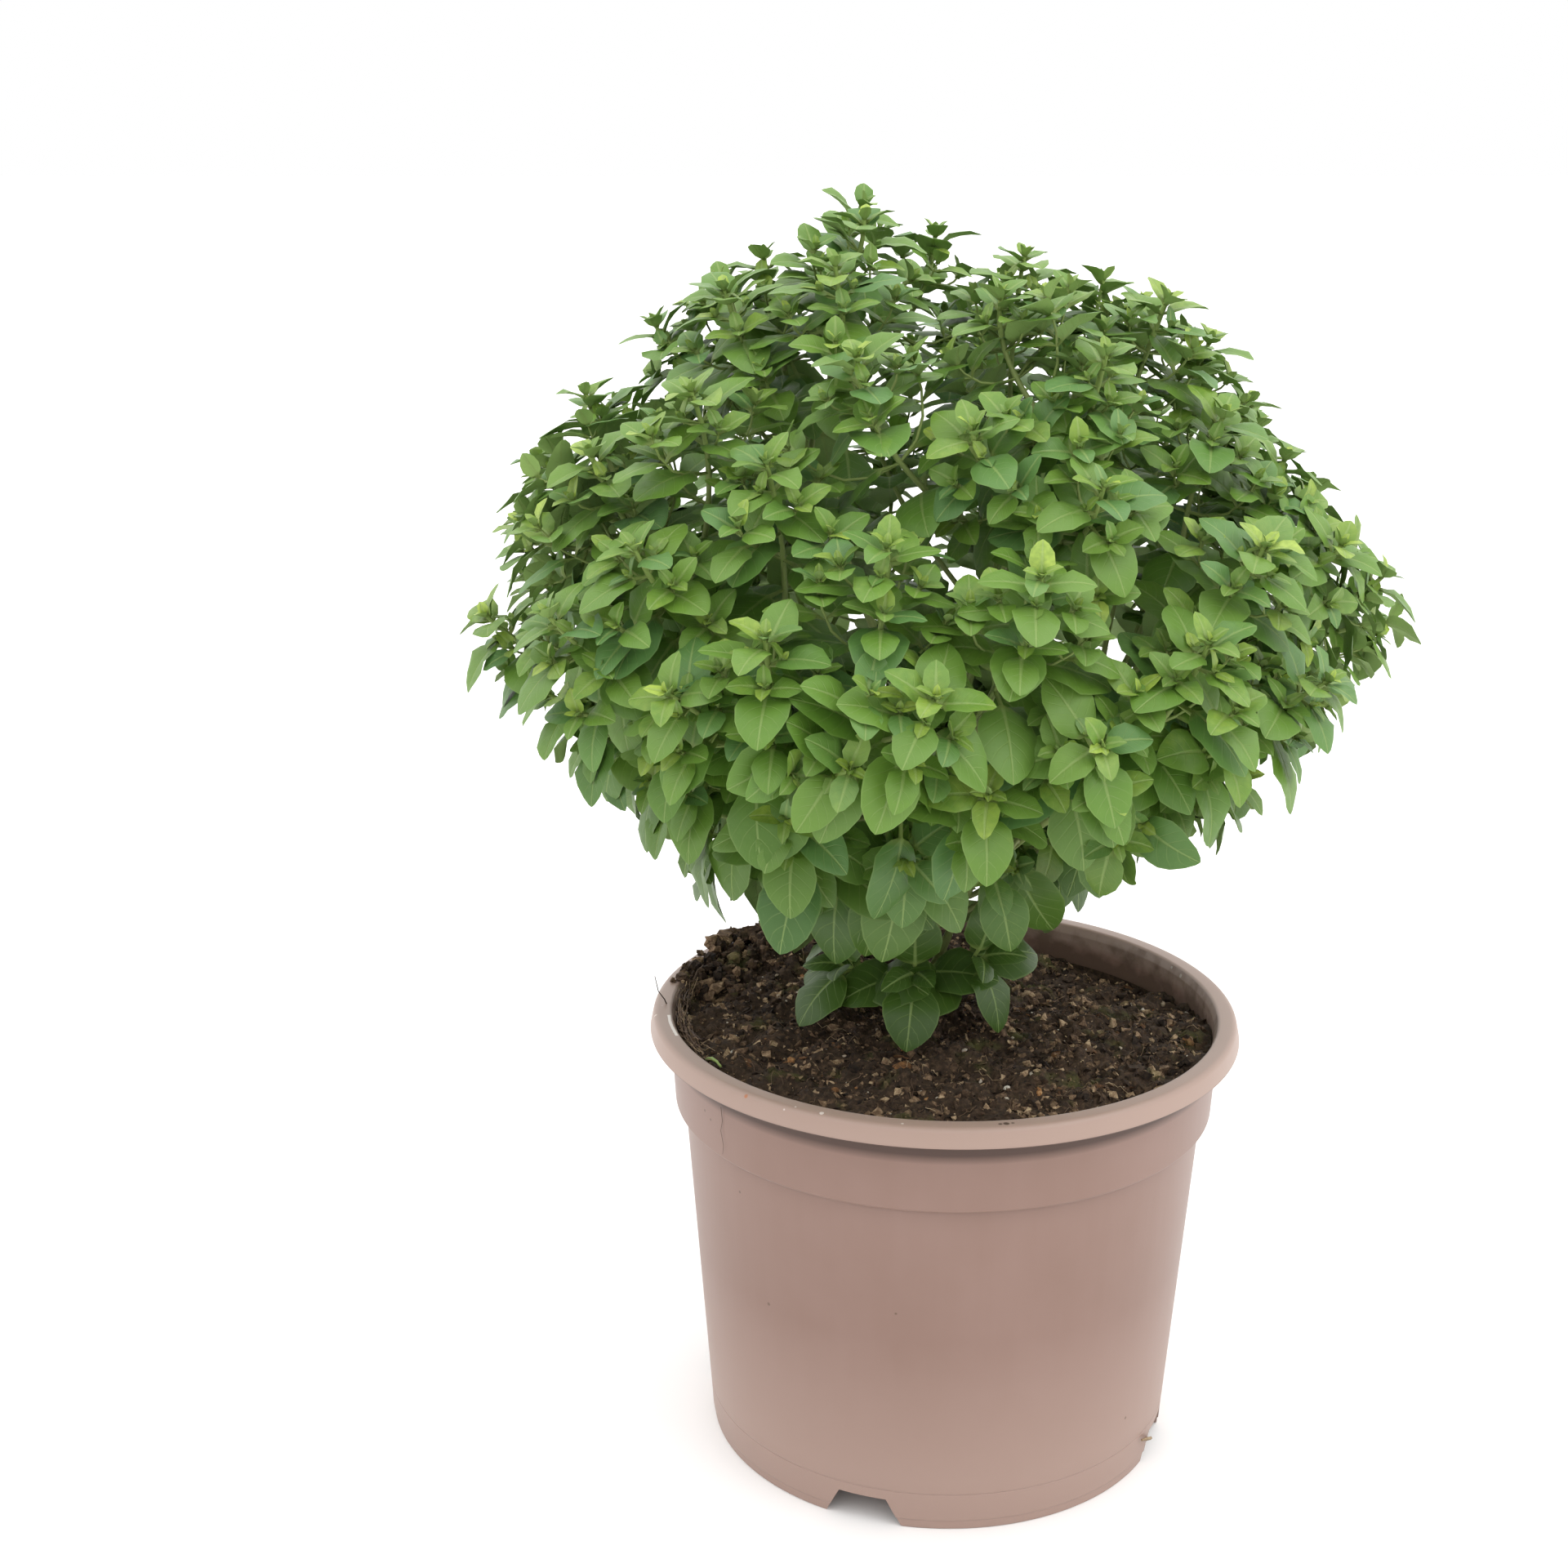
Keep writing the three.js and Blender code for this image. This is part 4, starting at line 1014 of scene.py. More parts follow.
# draws of their own from a leaf's tint: a factor, a gain and a loss
COOL_DRAW = (7.3, 2.2, 1.1)
WARM_DRAW = (3.7, 2.5, 1.4)
LEAF_ROUGHNESS, MOTTLE_ROUGHNESS, BACK_ROUGHNESS = 0.4, 0.16, 0.25


def chosen_leaves(sheet, tint, factor, gain, loss):
    """A share that is above nothing on some of the leaves only."""
    return sheet.clamp(sheet.maths("FRACT", tint * factor) * gain - loss)


def leaf_finish():
    material, sheet, shader = material_sheet("basil_leaf", Specular_IOR_Level=0.42)
    across, along, side = sheet.split(sheet.kept("blade", "Vector"))
    from_rib = abs(sheet.split(sheet.kept("flat", "Vector"))[0])
    tint, place = sheet.kept("tint"), sheet.place()
    mottle, patches = sheet.noise(place, MOTTLE_SCALE), sheet.noise(place, PATCH_SCALE, 1)
    ripeness = sheet.kept("age") + (tint - 0.5) * TINT_PULL + (mottle - 0.5) * MOTTLE_PULL
    green = sheet.ramp(LEAF_GREENS, ripeness + (patches - 0.5) * PATCH_PULL)
    green = sheet.mix(chosen_leaves(sheet, tint, *COOL_DRAW) * COOL_SHARE, green, COOL_GREEN)
    green = sheet.mix(chosen_leaves(sheet, tint, *WARM_DRAW) * WARM_SHARE, green, WARM_GREEN)
    # painted shade: the leaves turn a deeper green low in the crown, where shade falls
    low = sheet.clamp((sheet.split(place)[2] - LOW_SHADE_FROM) / (LOW_SHADE_TO - LOW_SHADE_FROM))
    green = sheet.mix(low * LOW_SHADE_SHARE, green, LOW_SHADE_GREEN)
    rib = sheet.clamp(RIB_EDGE - from_rib / (RIB_HALF_WIDTH * (RIB_TAPER - along)))
    turns = along * VEIN_PAIRS - abs(across) * VEIN_SLANT
    vein = sheet.clamp(abs(sheet.maths("FRACT", turns) - 0.5) * VEIN_SHARPNESS - VEIN_START)
    vein = vein * sheet.clamp(VEIN_FADE - abs(across))
    edge = sheet.clamp(abs(across) * EDGE_SHARPNESS - EDGE_START)
    speck = sheet.clamp(1 - sheet.dots(place, SPECK_SCALE) * SPECK_SHARPNESS)
    upper = green
    for mark, share in ((speck, SPECK_SHARE), (vein, VEIN_SHARE), (rib, RIB_SHARE), (edge, EDGE_SHARE)):
        upper = sheet.mix(mark * share, upper, RIB_GREEN)
    lower = sheet.mix(BACK_SHARE, green, BACK_GREEN)
    lower = sheet.mix(sheet.clamp(rib + vein * 0.4) * 0.6, lower, RIB_GREEN)
    back = side < 0
    stalk = sheet.clamp(1 - along * STALK_FADE)
    colour = sheet.mix(stalk, sheet.mix(back, upper, lower), STALK_GREEN)
    roughness = sheet.clamp(LEAF_ROUGHNESS + mottle * MOTTLE_ROUGHNESS + back * BACK_ROUGHNESS)
    sheet.finish(shader, colour, roughness, mottle * 0.35 - rib * 0.7 - vein * 0.35, 0.5, 0.25 * MM)
    return material


leaf_material = leaf_finish()
print("leaf finish has", len(leaf_material.node_tree.nodes), "nodes")

# %% Stem finish
STEM_GREENS = [(0, paint("7f964a")), (0.5, paint("8d985f")), (0.85, paint("8b8560")), (1, paint("6d5a40"))]


def stem_finish():
    material, sheet, shader = material_sheet("green_stem")
    grain = sheet.noise(sheet.upright(sheet.place(), 0.2), 900, 3)
    green = sheet.ramp(STEM_GREENS, sheet.kept("age") + (grain - 0.5) * 0.25)
    sheet.finish(shader, green, 0.55 + grain * 0.2, grain, 0.5, 0.2 * MM)
    return material


stem_material = stem_finish()
print("stem finish has", len(stem_material.node_tree.nodes), "nodes")

# %% [markdown]
# ## Foliage
#
# The plant grew as one, but the model has a solid for each leafy branch. So each branch is one piece here
# too, and stands for the solid of the same number. Thousands of leaf objects would be slow to handle. A bare
# mesh of points carries the whole branch into the tree instead, and one plain mesh comes out.

# %% Points of a leafy stem
LEAF_NUMBERS = ["length", "width", "stalk", "age", "tint", "arch", "droop", "fold", "sweep", "twist"]
LEAF_VECTORS = ["root", "along", "face"]
JOINT_SWELL = 0.22
JOINT_REACH = 1.3 * MM
STEM_FOOT_AGE = 0.6


def stem_radius(stem, distance):
    """A stem swells a little at each pair of leaves."""
    radius = between(distance / stem.length, stem.foot_radius, stem.tip_radius)
    joints = [stem.length - LEAF_AGES[pair][0] * MM for pair in range(min(SIDE_SHOOTS), len(LEAF_AGES))]
    nearest = min(abs(distance - joint) for joint in joints)
    return radius * (1 + JOINT_SWELL * max(1 - nearest / JOINT_REACH, 0))


def stem_line(stem):
    """The points of a stem, from inside the stem that carries it, each with its thickness and age."""
    rows = [(point, stem_radius(stem, distance), between(distance / stem.length, STEM_FOOT_AGE, 0))
            for point, distance in zip(stem.points, stem.distances)]
    return [(stem.rooted_at, stem.foot_radius, STEM_FOOT_AGE), *rows]


def points_mesh(name, lines, leaves):
    """A bare mesh with joined points along each line and one loose point for each leaf."""
    points, edges, rows = [], [], []
    for line in lines:
        edges += [(len(points) + i, len(points) + i + 1) for i in range(len(line) - 1)]
        points += [point for point, radius, age in line]
        rows += [{"radius": radius, "age": age} for point, radius, age in line]
    points += [leaf["root"] for leaf in leaves]
    rows += leaves
    mesh = bpy.data.meshes.new(name)
    mesh.from_pydata(points, edges, [])
    for title in [*LEAF_NUMBERS, "radius"]:
        layer = mesh.attributes.new(title, "FLOAT", "POINT")
        layer.data.foreach_set("value", [row.get(title, 0) for row in rows])
    for title in LEAF_VECTORS:
        layer = mesh.attributes.new(title, "FLOAT_VECTOR", "POINT")
        layer.data.foreach_set("vector", [value for row in rows for value in row.get(title, (0, 0, 0))])
    return mesh


print("measures of each leaf:", len(LEAF_NUMBERS) + len(LEAF_VECTORS))

# %% Grow the foliage


def grow_foliage(name, node, stems, ages):
    lines, leaves = [], []
    for stem in stems:
        more_lines, more_leaves = grow_leaves(stem, ages)
        lines += [stem_line(stem), *more_lines]
        leaves += more_leaves
    piece = run_nodes(name, points_mesh(name, lines, leaves), leafy_stem, {
        "Leaf finish": leaf_material, "Stem finish": stem_material})
    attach(piece, "root")
    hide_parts(node)
    return piece


foliage = [grow_foliage(f"foliage_{i + 1}", f"leafy_stem_{i + 1}", stems, LEAF_AGES)
           for i, stems in enumerate(branches)]
foliage += [grow_foliage(f"low_foliage_{i + 1}", f"low_shoot_{i + 1}", stems, LOW_LEAF_AGES)
            for i, stems in enumerate(low_shoots)]
print("triangles in each piece:", [triangle_count(piece) for piece in foliage])
print("triangles in all:", sum(triangle_count(piece) for piece in foliage))

# %% [markdown]
# ## The trunk
#
# The real trunk is a thin stem with a knot at each branch. A turned shape would be too straight for it. So
# the trunk is a line of points with its own thickness at each, swollen where a branch leaves it, and the
# same tree turns it into a tube, with more sides. A few thin roots leave its foot and dive into the soil.

# %% Grow the trunk
TRUNK_STEPS = 90
TRUNK_WAVE = 0.25 * MM
WAVES_PER_METRE, SECOND_WAVE = 90, 7
KNOT_SWELL = 0.2
KNOT_REACH = 2.0 * MM
BROWN_HEIGHT, BROWN_FADE = 104 * MM, 22 * MM
TRUNK_TOP_AGE = 0.55
TRUNK_SIDES = 16
TRUNK_ROOT_COUNT = 5
TRUNK_ROOT_STEPS = 6
TRUNK_ROOT_START = 105.5 * MM
TRUNK_ROOT_REACH = 6 * MM
TRUNK_ROOT_DIVE = 3.5 * MM
TRUNK_ROOT_SCATTER = 0.3
TRUNK_ROOT_RADIUS = 0.55 * MM
TRUNK_ROOT_TAPER = 0.75


def trunk_line():
    knots = [stems[0].rooted_at.z for stems in [*branches, *low_shoots]]
    line = []
    for step in range(TRUNK_STEPS + 1):
        height = between(step / TRUNK_STEPS, TRUNK_FOOT.z, TRUNK_TOP.z)
        nearest = min(abs(height - knot) for knot in knots)
        swell = 1 + KNOT_SWELL * max(1 - nearest / KNOT_REACH, 0)
        wave = height * WAVES_PER_METRE
        sway = Vector((noise.noise(UP * wave), noise.noise(UP * (wave + SECOND_WAVE)), 0)) * TRUNK_WAVE
        age = between(min(max((height - BROWN_HEIGHT) / BROWN_FADE, 0), 1), 1, TRUNK_TOP_AGE)
        line.append((trunk_point(height) + sway, trunk_radius(height) * swell, age))
    return line


def trunk_root(number):
    outward = level(2 * math.pi * (number + TRUNK_ROOT_SCATTER * draw(number, 41)) / TRUNK_ROOT_COUNT)
    start = trunk_point(TRUNK_ROOT_START)
    line = []
    for step in range(TRUNK_ROOT_STEPS + 1):
        share = step / TRUNK_ROOT_STEPS
        point = start + outward * TRUNK_ROOT_REACH * share - UP * TRUNK_ROOT_DIVE * share ** 2
        line.append((point, TRUNK_ROOT_RADIUS * (1 - TRUNK_ROOT_TAPER * share), 1))
    return line


trunk_lines = [trunk_line(), *[trunk_root(number) for number in range(TRUNK_ROOT_COUNT)]]
trunk = run_nodes("trunk_fine", points_mesh("trunk_fine", trunk_lines, []), leafy_stem, {
    "Stem sides": TRUNK_SIDES, "Leaf finish": leaf_material, "Stem finish": stem_material})
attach(trunk, "root")
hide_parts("trunk")
print("triangles in the trunk:", triangle_count(trunk))

# %% [markdown]
# ## The pot
#
# The pot is moulded in one piece, as round as if it were turned. A Screw modifier could turn its profile,
# but a loop lets each corner of the profile have its own small rounding. Four notches are then cut through
# the foot and a drain hole behind each. The plastic is satin: a warm taupe with faint cloudiness, specks of
# lime on the lip and soil stains inside. Its colour also carries painted light: a painted highlight on the
# lip, painted shade under the lip and in a line at the step, and painted light from the floor that makes it
# paler towards the foot. A short list places the single marks that a used pot has, and a second the thin
# lines along the rim: painted shade at its edges and one painted highlight.

# %% Turned profile with rounded corners
POT_PROFILE = [
    # radius, height, rounding of the corner, in millimetres
    (0, 7.1, 0),
    (54.3, 7.1, 0.8),
    (54.1, 0, 0.3),
    (55.4, 0, 0.4),
    (55.5, 2.1, 0.15),
    (55.8, 2.6, 0.2),
    (56.23, 8.9, 0),
    (56.27, 9.35, 0),
    (56.17, 9.5, 0),
    (56.3, 9.65, 0),
    (56.33, 10.1, 0),
    (61.8, 84.0, 1.2),
    (64.1, 85.2, 0.9),
    (65.3, 105.9, 0.6),
    (67.7, 105.9, 0.8),
    (68.6, 102.7, 0.3),
    (70.0, 102.7, 0.4),
    (69.0, 107.4, 1.5),
    (64.9, 107.4, 0.9),
    (64.0, 105.2, 1.5),
    (62.8, 86.2, 0.8),
    (60.5, 84.6, 0.8),
    (55.2, 8.4, 1.0),
    (0, 8.4, 0),
]
ARC_STEPS = 5
SET_BACK_LIMIT = 2.1
POT_SEGMENTS = 240


def round_corner(before, corner, after, radius):
    """The points of the arc that rounds a corner of a profile, and takes up less than half of its sides."""
    towards, onwards = (before - corner).normalized(), (after - corner).normalized()
    half = towards.angle(onwards) / 2
    room = min((before - corner).length, (after - corner).length) / SET_BACK_LIMIT
    set_back = min(radius / math.tan(half), room)
    start, end = corner + towards * set_back, corner + onwards * set_back
    middle = corner + (towards + onwards).normalized() * (set_back / math.cos(half))
    turn = (end - middle).to_2d().angle_signed((start - middle).to_2d())
    turns = [Matrix.Rotation(turn * step / ARC_STEPS, 2) for step in range(ARC_STEPS + 1)]
    return [middle + part @ (start - middle) for part in turns]


def rounded_profile(rows):
    corners = [Vector(row[:2]) * MM for row in rows]
    points = [corners[0]]
    for i, (corner, row) in enumerate(zip(corners[1:-1], rows[1:-1])):
        points += round_corner(corners[i], corner, corners[i + 2], row[2] * MM) if row[2] else [corner]
    return [*points, corners[-1]]


def all_round(count):
    """Level directions, evenly spread round the axis."""
    return [level(2 * math.pi * i / count) for i in range(count)]


def ring_mesh(name, first, last, rings):
    """A closed skin over rings of as many points each, with a fan to one point before them and one after."""
    count = len(rings[0])
    last_ring = 2 + (len(rings) - 1) * count
    faces = []
    for i in range(count):
        beyond = (i + 1) % count
        faces.append((0, 2 + beyond, 2 + i))
        for ring in range(2, last_ring, count):
            faces.append((ring + i, ring + beyond, ring + count + beyond, ring + count + i))
        faces.append((last_ring + i, last_ring + beyond, 1))
    mesh = bpy.data.meshes.new(name)
    mesh.from_pydata([first, last, *[point for ring in rings for point in ring]], [], faces)
    return mesh


def turned_mesh(name, profile, segments):
    """A closed turned shape, from a profile that starts and ends on the axis."""
    sides = all_round(segments)
    rings = [[side * point.x + UP * point.y for side in sides] for point in profile[1:-1]]
    return ring_mesh(name, UP * profile[0].y, UP * profile[-1].y, rings)


pot_profile = rounded_profile(POT_PROFILE)
print("points in the pot's profile:", len(pot_profile), "from", len(POT_PROFILE), "corners")

# %% Notches and drain holes
NOTCH_COUNT = 4
FIRST_NOTCH = math.radians(-111)
NOTCH_FACE = [
    # across and up, in millimetres
    (-9.75, -1),
    (9.75, -1),
    (5.7, 7.0),
    (-5.7, 7.0),
]
NOTCH_FROM, NOTCH_TO = 43.4 * MM, 59.4 * MM
DRAIN_HOLE_PLACE = 44 * MM
DRAIN_HOLE_RADIUS = 4 * MM
DRAIN_HOLE_BOTTOM, DRAIN_HOLE_TOP = 3.1 * MM, 11.1 * MM
DRAIN_HOLE_SIDES = 32
POT_SHARP_ANGLE = 38


def add_prism(shape, outline, place, turn):
    """Adds a closed prism to a mesh under construction. A function places its ends, which are then turned."""
    ends = [[shape.verts.new(turn @ Vector(place(point, end))) for point in outline] for end in (0, 1)]
    shape.faces.new(reversed(ends[0]))
    shape.faces.new(ends[1])
    for i in range(len(outline)):
        j = (i + 1) % len(outline)
        shape.faces.new((ends[0][i], ends[0][j], ends[1][j], ends[1][i]))


def notch_place(point, end):
    return between(end, NOTCH_FROM, NOTCH_TO), point[0] * MM, point[1] * MM


def hole_place(point, end):
    return DRAIN_HOLE_PLACE + point[0], point[1], between(end, DRAIN_HOLE_BOTTOM, DRAIN_HOLE_TOP)


def pot_cutters():
    shape = bmesh.new()
    circle = [side * DRAIN_HOLE_RADIUS for side in all_round(DRAIN_HOLE_SIDES)]
    for i in range(NOTCH_COUNT):
        turn = Matrix.Rotation(FIRST_NOTCH + i * 2 * math.pi / NOTCH_COUNT, 3, "Z")
        add_prism(shape, NOTCH_FACE, notch_place, turn)
        add_prism(shape, circle, hole_place, turn)
    bmesh.ops.recalc_face_normals(shape, faces=shape.faces)
    mesh = bpy.data.meshes.new("pot_cutters")
    shape.to_mesh(mesh)
    shape.free()
    return mesh


def cut(piece, cutters):
    """Cuts a piece and keeps the result as a plain mesh."""
    tool = bpy.data.objects.new("cutters", cutters)
    bpy.context.scene.collection.objects.link(tool)
    modifier = piece.modifiers.new("cut", "BOOLEAN")
    modifier.operation = "DIFFERENCE"
    modifier.solver = "EXACT"
    modifier.object = tool
    graph = bpy.context.evaluated_depsgraph_get()
    mesh = bpy.data.meshes.new_from_object(piece.evaluated_get(graph), depsgraph=graph)
    piece.modifiers.clear()
    piece.data = mesh
    bpy.data.objects.remove(tool)


def shade_smooth(mesh, sharp_from):
    for polygon in mesh.polygons:
        polygon.use_smooth = True
    mesh.set_sharp_from_angle(angle=math.radians(sharp_from))


pot = bpy.data.objects.new("pot_fine", turned_mesh("pot_fine", pot_profile, POT_SEGMENTS))
bpy.context.scene.collection.objects.link(pot)
cut(pot, pot_cutters())
shade_smooth(pot.data, POT_SHARP_ANGLE)
print("triangles in the pot:", triangle_count(pot))

# %% Pot finish
WARM_TAUPE = paint("82665a")
PALE_TAUPE = paint("8c7167")
# painted highlight: the lip's upper face, which faces the light, is painted paler
LIP_HIGHLIGHT = paint("ae988c")
# painted light from the floor: the pot is painted paler towards its foot, where the floor lights it
FOOT_BOUNCE_LIGHT = paint("9b8277")
BOUNCE_LIGHT_FROM, BOUNCE_LIGHT_FULL = 50 * MM, 13 * MM
SOIL_STAIN = paint("5a4535")
INNER_FROM = 86 * MM
INNER_RADIUS = 63.5 * MM
INNER_SLOPE = 0.058
LIME = paint("d9cfc8")
# painted shade: a dark colour laid under the lip and in a thin line at the step, where shade falls; next,
# where the painted shade under the lip starts, is full and ends
PAINTED_SHADE = paint("3a241a")
LIP_SHADE_FROM, LIP_SHADE_FULL, LIP_SHADE_TO = 96.8 * MM, 99 * MM, 103 * MM
# height and reach of a thin line of painted shade at the step between body and collar
STEP_HEIGHT, STEP_REACH = 84 * MM, 0.9 * MM
LIP_FROM, LIP_FADE = 101.5 * MM, 2 * MM
WET_LEVEL, WET_FADE = 103 * MM, 6 * MM
RIM_TOP_FROM = 106.2 * MM
DIRT = paint("3d2a1e")
# painted shade in thin dark lines at edges of the rim
GAP_SHADE = paint("3d2c22")
# a painted highlight in a thin pale line along the rim's inner edge
GAP_HIGHLIGHT = paint("efe9e4")
ORANGE_CRUMB = paint("a9683f")
MARK_SHARE, ARC_SHARE = 0.85, 0.75
MARK_EDGE, MARK_RAGGEDNESS, ARC_RAGGEDNESS = 0.25 * MM, 3, 0.8
# shares of the painted highlight on the lip, the lime, the pits, the soil stains, the painted shade under the
# lip and the painted shade at the step
LIP_HIGHLIGHT_SHARE, LIME_SHARE, PIT_SHARE, STAIN_SHARE, LIP_SHADE_SHARE, STEP_SHADE_SHARE = 0.6, 0.8, 0.7, 0.75, 0.85, 0.16
CLOUD_SCALE, CLOUD_GAIN, CLOUD_LOSS = 24, 1.8, 0.4
STREAK_SCALE, STREAK_STRETCH, STREAK_PULL = 260, 0.06, 0.35
LIME_SCALE, LIME_SIZE, LIME_PATCH_SCALE, LIME_PATCH_LEVEL = 240, 0.12, 70, 0.6
PIT_SCALE, PIT_SIZE = 45, 0.022
SPLASH_SCALE, SPLASH_LEVEL, SPLASH_EDGE = 180, 0.35, 4
PLASTIC_ROUGHNESS, PLASTIC_GRAIN_SCALE = 0.42, 2600
MARKS = [
    # x, y and height of a mark, how far it reaches, in millimetres, and its colour
    (7.9, -66.6, 107.2, 0.7, DIRT),
    (9.2, -66.4, 107.2, 0.9, DIRT),
    (10.6, -66.1, 107.2, 0.6, DIRT),
    (-46.4, -51.2, 106.8, 0.6, ORANGE_CRUMB),
    (-38.0, -57.7, 106.6, 0.35, LIME),
    (-12.9, -66.4, 107.4, 0.4, LIME),
    (-56.1, -32.2, 94.5, 0.45, SOIL_STAIN),
    (-54.7, -34.3, 93.2, 0.4, SOIL_STAIN),
    (-48.1, -38.0, 76.9, 0.4, SOIL_STAIN),
    (-13.2, -58.3, 57.4, 0.35, SOIL_STAIN),
]
ARC_MARKS = [
    # a thin line on the rim, dark for painted shade at an edge and pale for a painted highlight: first and
    # last bearing in degrees, inner and outer radius in millimetres, and colour
    (-65, -37, 64.3, 65.1, GAP_SHADE),
    (49, 61, 68.9, 69.7, GAP_SHADE),
    (-174, -163, 65.3, 66.0, GAP_HIGHLIGHT),
]


def rim_marks(sheet, place, radius, ragged, colour):
    """Lays the single marks, and the thin lines of painted shade and painted highlight along the rim, over a
    colour.
    """
    across, deep, height = sheet.split(place)
    for x, y, z, reach, mark_colour in MARKS:
        away = sheet.maths("DISTANCE", place, Vector((x, y, z)) * MM)
        mark = sheet.clamp((reach * MM - away) / MARK_EDGE + ragged * MARK_RAGGEDNESS)
        colour = sheet.mix(mark * MARK_SHARE, colour, mark_colour)
    bearing = sheet.maths("ARCTAN2", deep, across)
    uneven = radius + ragged * ARC_RAGGEDNESS * MM
    # thin lines of painted shade, and one of painted highlight, along the rim
    for first, last, inner, outer, line_colour in ARC_MARKS:
        along = (bearing > math.radians(first)) * (bearing < math.radians(last)) * (height > RIM_TOP_FROM)
        across_line = (uneven > inner * MM) * (uneven < outer * MM)
        colour = sheet.mix(along * across_line * ARC_SHARE, colour, line_colour)
    return colour


def pot_finish():
    material, sheet, shader = material_sheet("pot_plastic", Specular_IOR_Level=0.45)
    place = sheet.place()
    across, deep, height = sheet.split(place)
    radius = (across * across + deep * deep) ** 0.5
    clouds = sheet.noise(place, CLOUD_SCALE, 3, 0.6)
    streaks = sheet.noise(sheet.upright(place, STREAK_STRETCH), STREAK_SCALE)
    paleness = sheet.clamp(clouds * CLOUD_GAIN - CLOUD_LOSS + (streaks - 0.5) * STREAK_PULL)
    colour = sheet.mix(paleness, WARM_TAUPE, PALE_TAUPE)
    lip = sheet.clamp((height - LIP_FROM) / LIP_FADE)
    # a painted highlight on the lip
    colour = sheet.mix(lip * LIP_HIGHLIGHT_SHARE, colour, LIP_HIGHLIGHT)
    # painted light from the floor, paler towards the foot
    colour = sheet.mix(sheet.clamp((BOUNCE_LIGHT_FROM - height) / (BOUNCE_LIGHT_FROM - BOUNCE_LIGHT_FULL)), colour, FOOT_BOUNCE_LIGHT)
    in_patch = sheet.noise(place, LIME_PATCH_SCALE) > LIME_PATCH_LEVEL
    lime = (sheet.dots(place, LIME_SCALE) < LIME_SIZE) * in_patch * lip
    colour = sheet.mix(lime * LIME_SHARE, colour, LIME)
    colour = sheet.mix((sheet.dots(place, PIT_SCALE) < PIT_SIZE) * PIT_SHARE, colour, SOIL_STAIN)
    inside = (radius < INNER_RADIUS + INNER_SLOPE * (height - INNER_FROM)) * (height > INNER_FROM)
    splash = sheet.noise(place, SPLASH_SCALE, 4)
    wet = inside * sheet.clamp((splash - SPLASH_LEVEL) * SPLASH_EDGE + (WET_LEVEL - height) / WET_FADE)
    colour = sheet.mix(wet * STAIN_SHARE, colour, SOIL_STAIN)
    # painted shade under the lip, on the outside of the collar
    lip_shade = sheet.clamp((height - LIP_SHADE_FROM) / (LIP_SHADE_FULL - LIP_SHADE_FROM))
    lip_shade = lip_shade * (height < LIP_SHADE_TO) * (1 - inside)
    # painted shade in a thin line at the step
    step_shade = sheet.clamp(1 - abs(height - STEP_HEIGHT) / STEP_REACH)
    colour = sheet.mix(lip_shade * LIP_SHADE_SHARE + step_shade * STEP_SHADE_SHARE, colour, PAINTED_SHADE)
    colour = rim_marks(sheet, place, radius, splash - 0.5, colour)
    roughness = sheet.clamp(PLASTIC_ROUGHNESS + (clouds - 0.5) * 0.2 + wet * 0.3 + lime * 0.3)
    relief = sheet.noise(place, PLASTIC_GRAIN_SCALE) * 0.4 + streaks * 0.6 + lime * 0.6
    sheet.finish(shader, colour, roughness, relief, 0.35, 0.08 * MM)
    return material


pot.data.materials.clear()
pot.data.materials.append(pot_finish())
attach(pot, "root")
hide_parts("pot")
print("pot finish is on")

# %% [markdown]
# ## The soil
#
# Potting soil is dark peat with bark and perlite in it. A displaced disc alone would look like mud, and
# crumbs alone would show gaps. So the block of soil repeats the hills and hollows of the model with a rough
# crust, and loose crumbs of peat, chips of bark and pale perlite are strewn over it by one small Geometry
# Nodes tree. A fourth run of that tree heaps clods against the wall at the back left, a few of which lie on
# the rim.

# %% Soil block
SOIL_LEVEL = 103.4 * MM
SOIL_RADIUS = 62.4 * MM
SOIL_EDGE = 63.5 * MM
SOIL_CROWN = 1.8 * MM
SOIL_BUMP = 1.1 * MM
SOIL_HILLS = [
    # x, y, height, spread, in millimetres
    (-34, 44, 6.5, 15),
    (42, 36, -7, 24),
]
# the soil's waves, in radians to the millimetre
LONG_WAVE_X, LONG_WAVE_Y, LONG_WAVE_START = 0.23, 0.27, 1.3
SHORT_WAVE_X, SHORT_WAVE_Y, SHORT_WAVE_SHARE = 0.41, 0.33, 0.6
SOIL_RINGS = 96
SOIL_SEGMENTS = 288
SOIL_SHARP_ANGLE = 60
SOIL_SIDE = [
    # radius and height from the top down, in millimetres
    (62.4, 98),
    (62.2, 88),
    (59.6, 84.5),
    (54.6, 8.7),
]
CRUST_HEIGHT = 2.2 * MM
CRUST_GRAINS_PER_METRE = 380
CRUST_SINK = 0.2
CRUST_FALLOFF, CRUST_STEP, CRUST_LAYERS = 0.6, 2.2, 4
CRUST_GRAIN_SHARE, CRUST_LUMP_SHARE, CRUST_LUMP_SCALE = 0.6, 0.6, 0.4


def soil_height(x, y):
    square = (x * x + y * y) / SOIL_RADIUS ** 2
    long = math.sin(x / MM * LONG_WAVE_X + LONG_WAVE_START) * math.cos(y / MM * LONG_WAVE_Y)
    short = SHORT_WAVE_SHARE * math.sin(x / MM * SHORT_WAVE_X - y / MM * SHORT_WAVE_Y)
    height = SOIL_LEVEL + SOIL_CROWN * (1 - square) + SOIL_BUMP * (long + short)
    for hill_x, hill_y, rise, spread in SOIL_HILLS:
        away = (x / MM - hill_x) ** 2 + (y / MM - hill_y) ** 2
        height += rise * MM * math.exp(-away / (2 * spread ** 2))
    return height


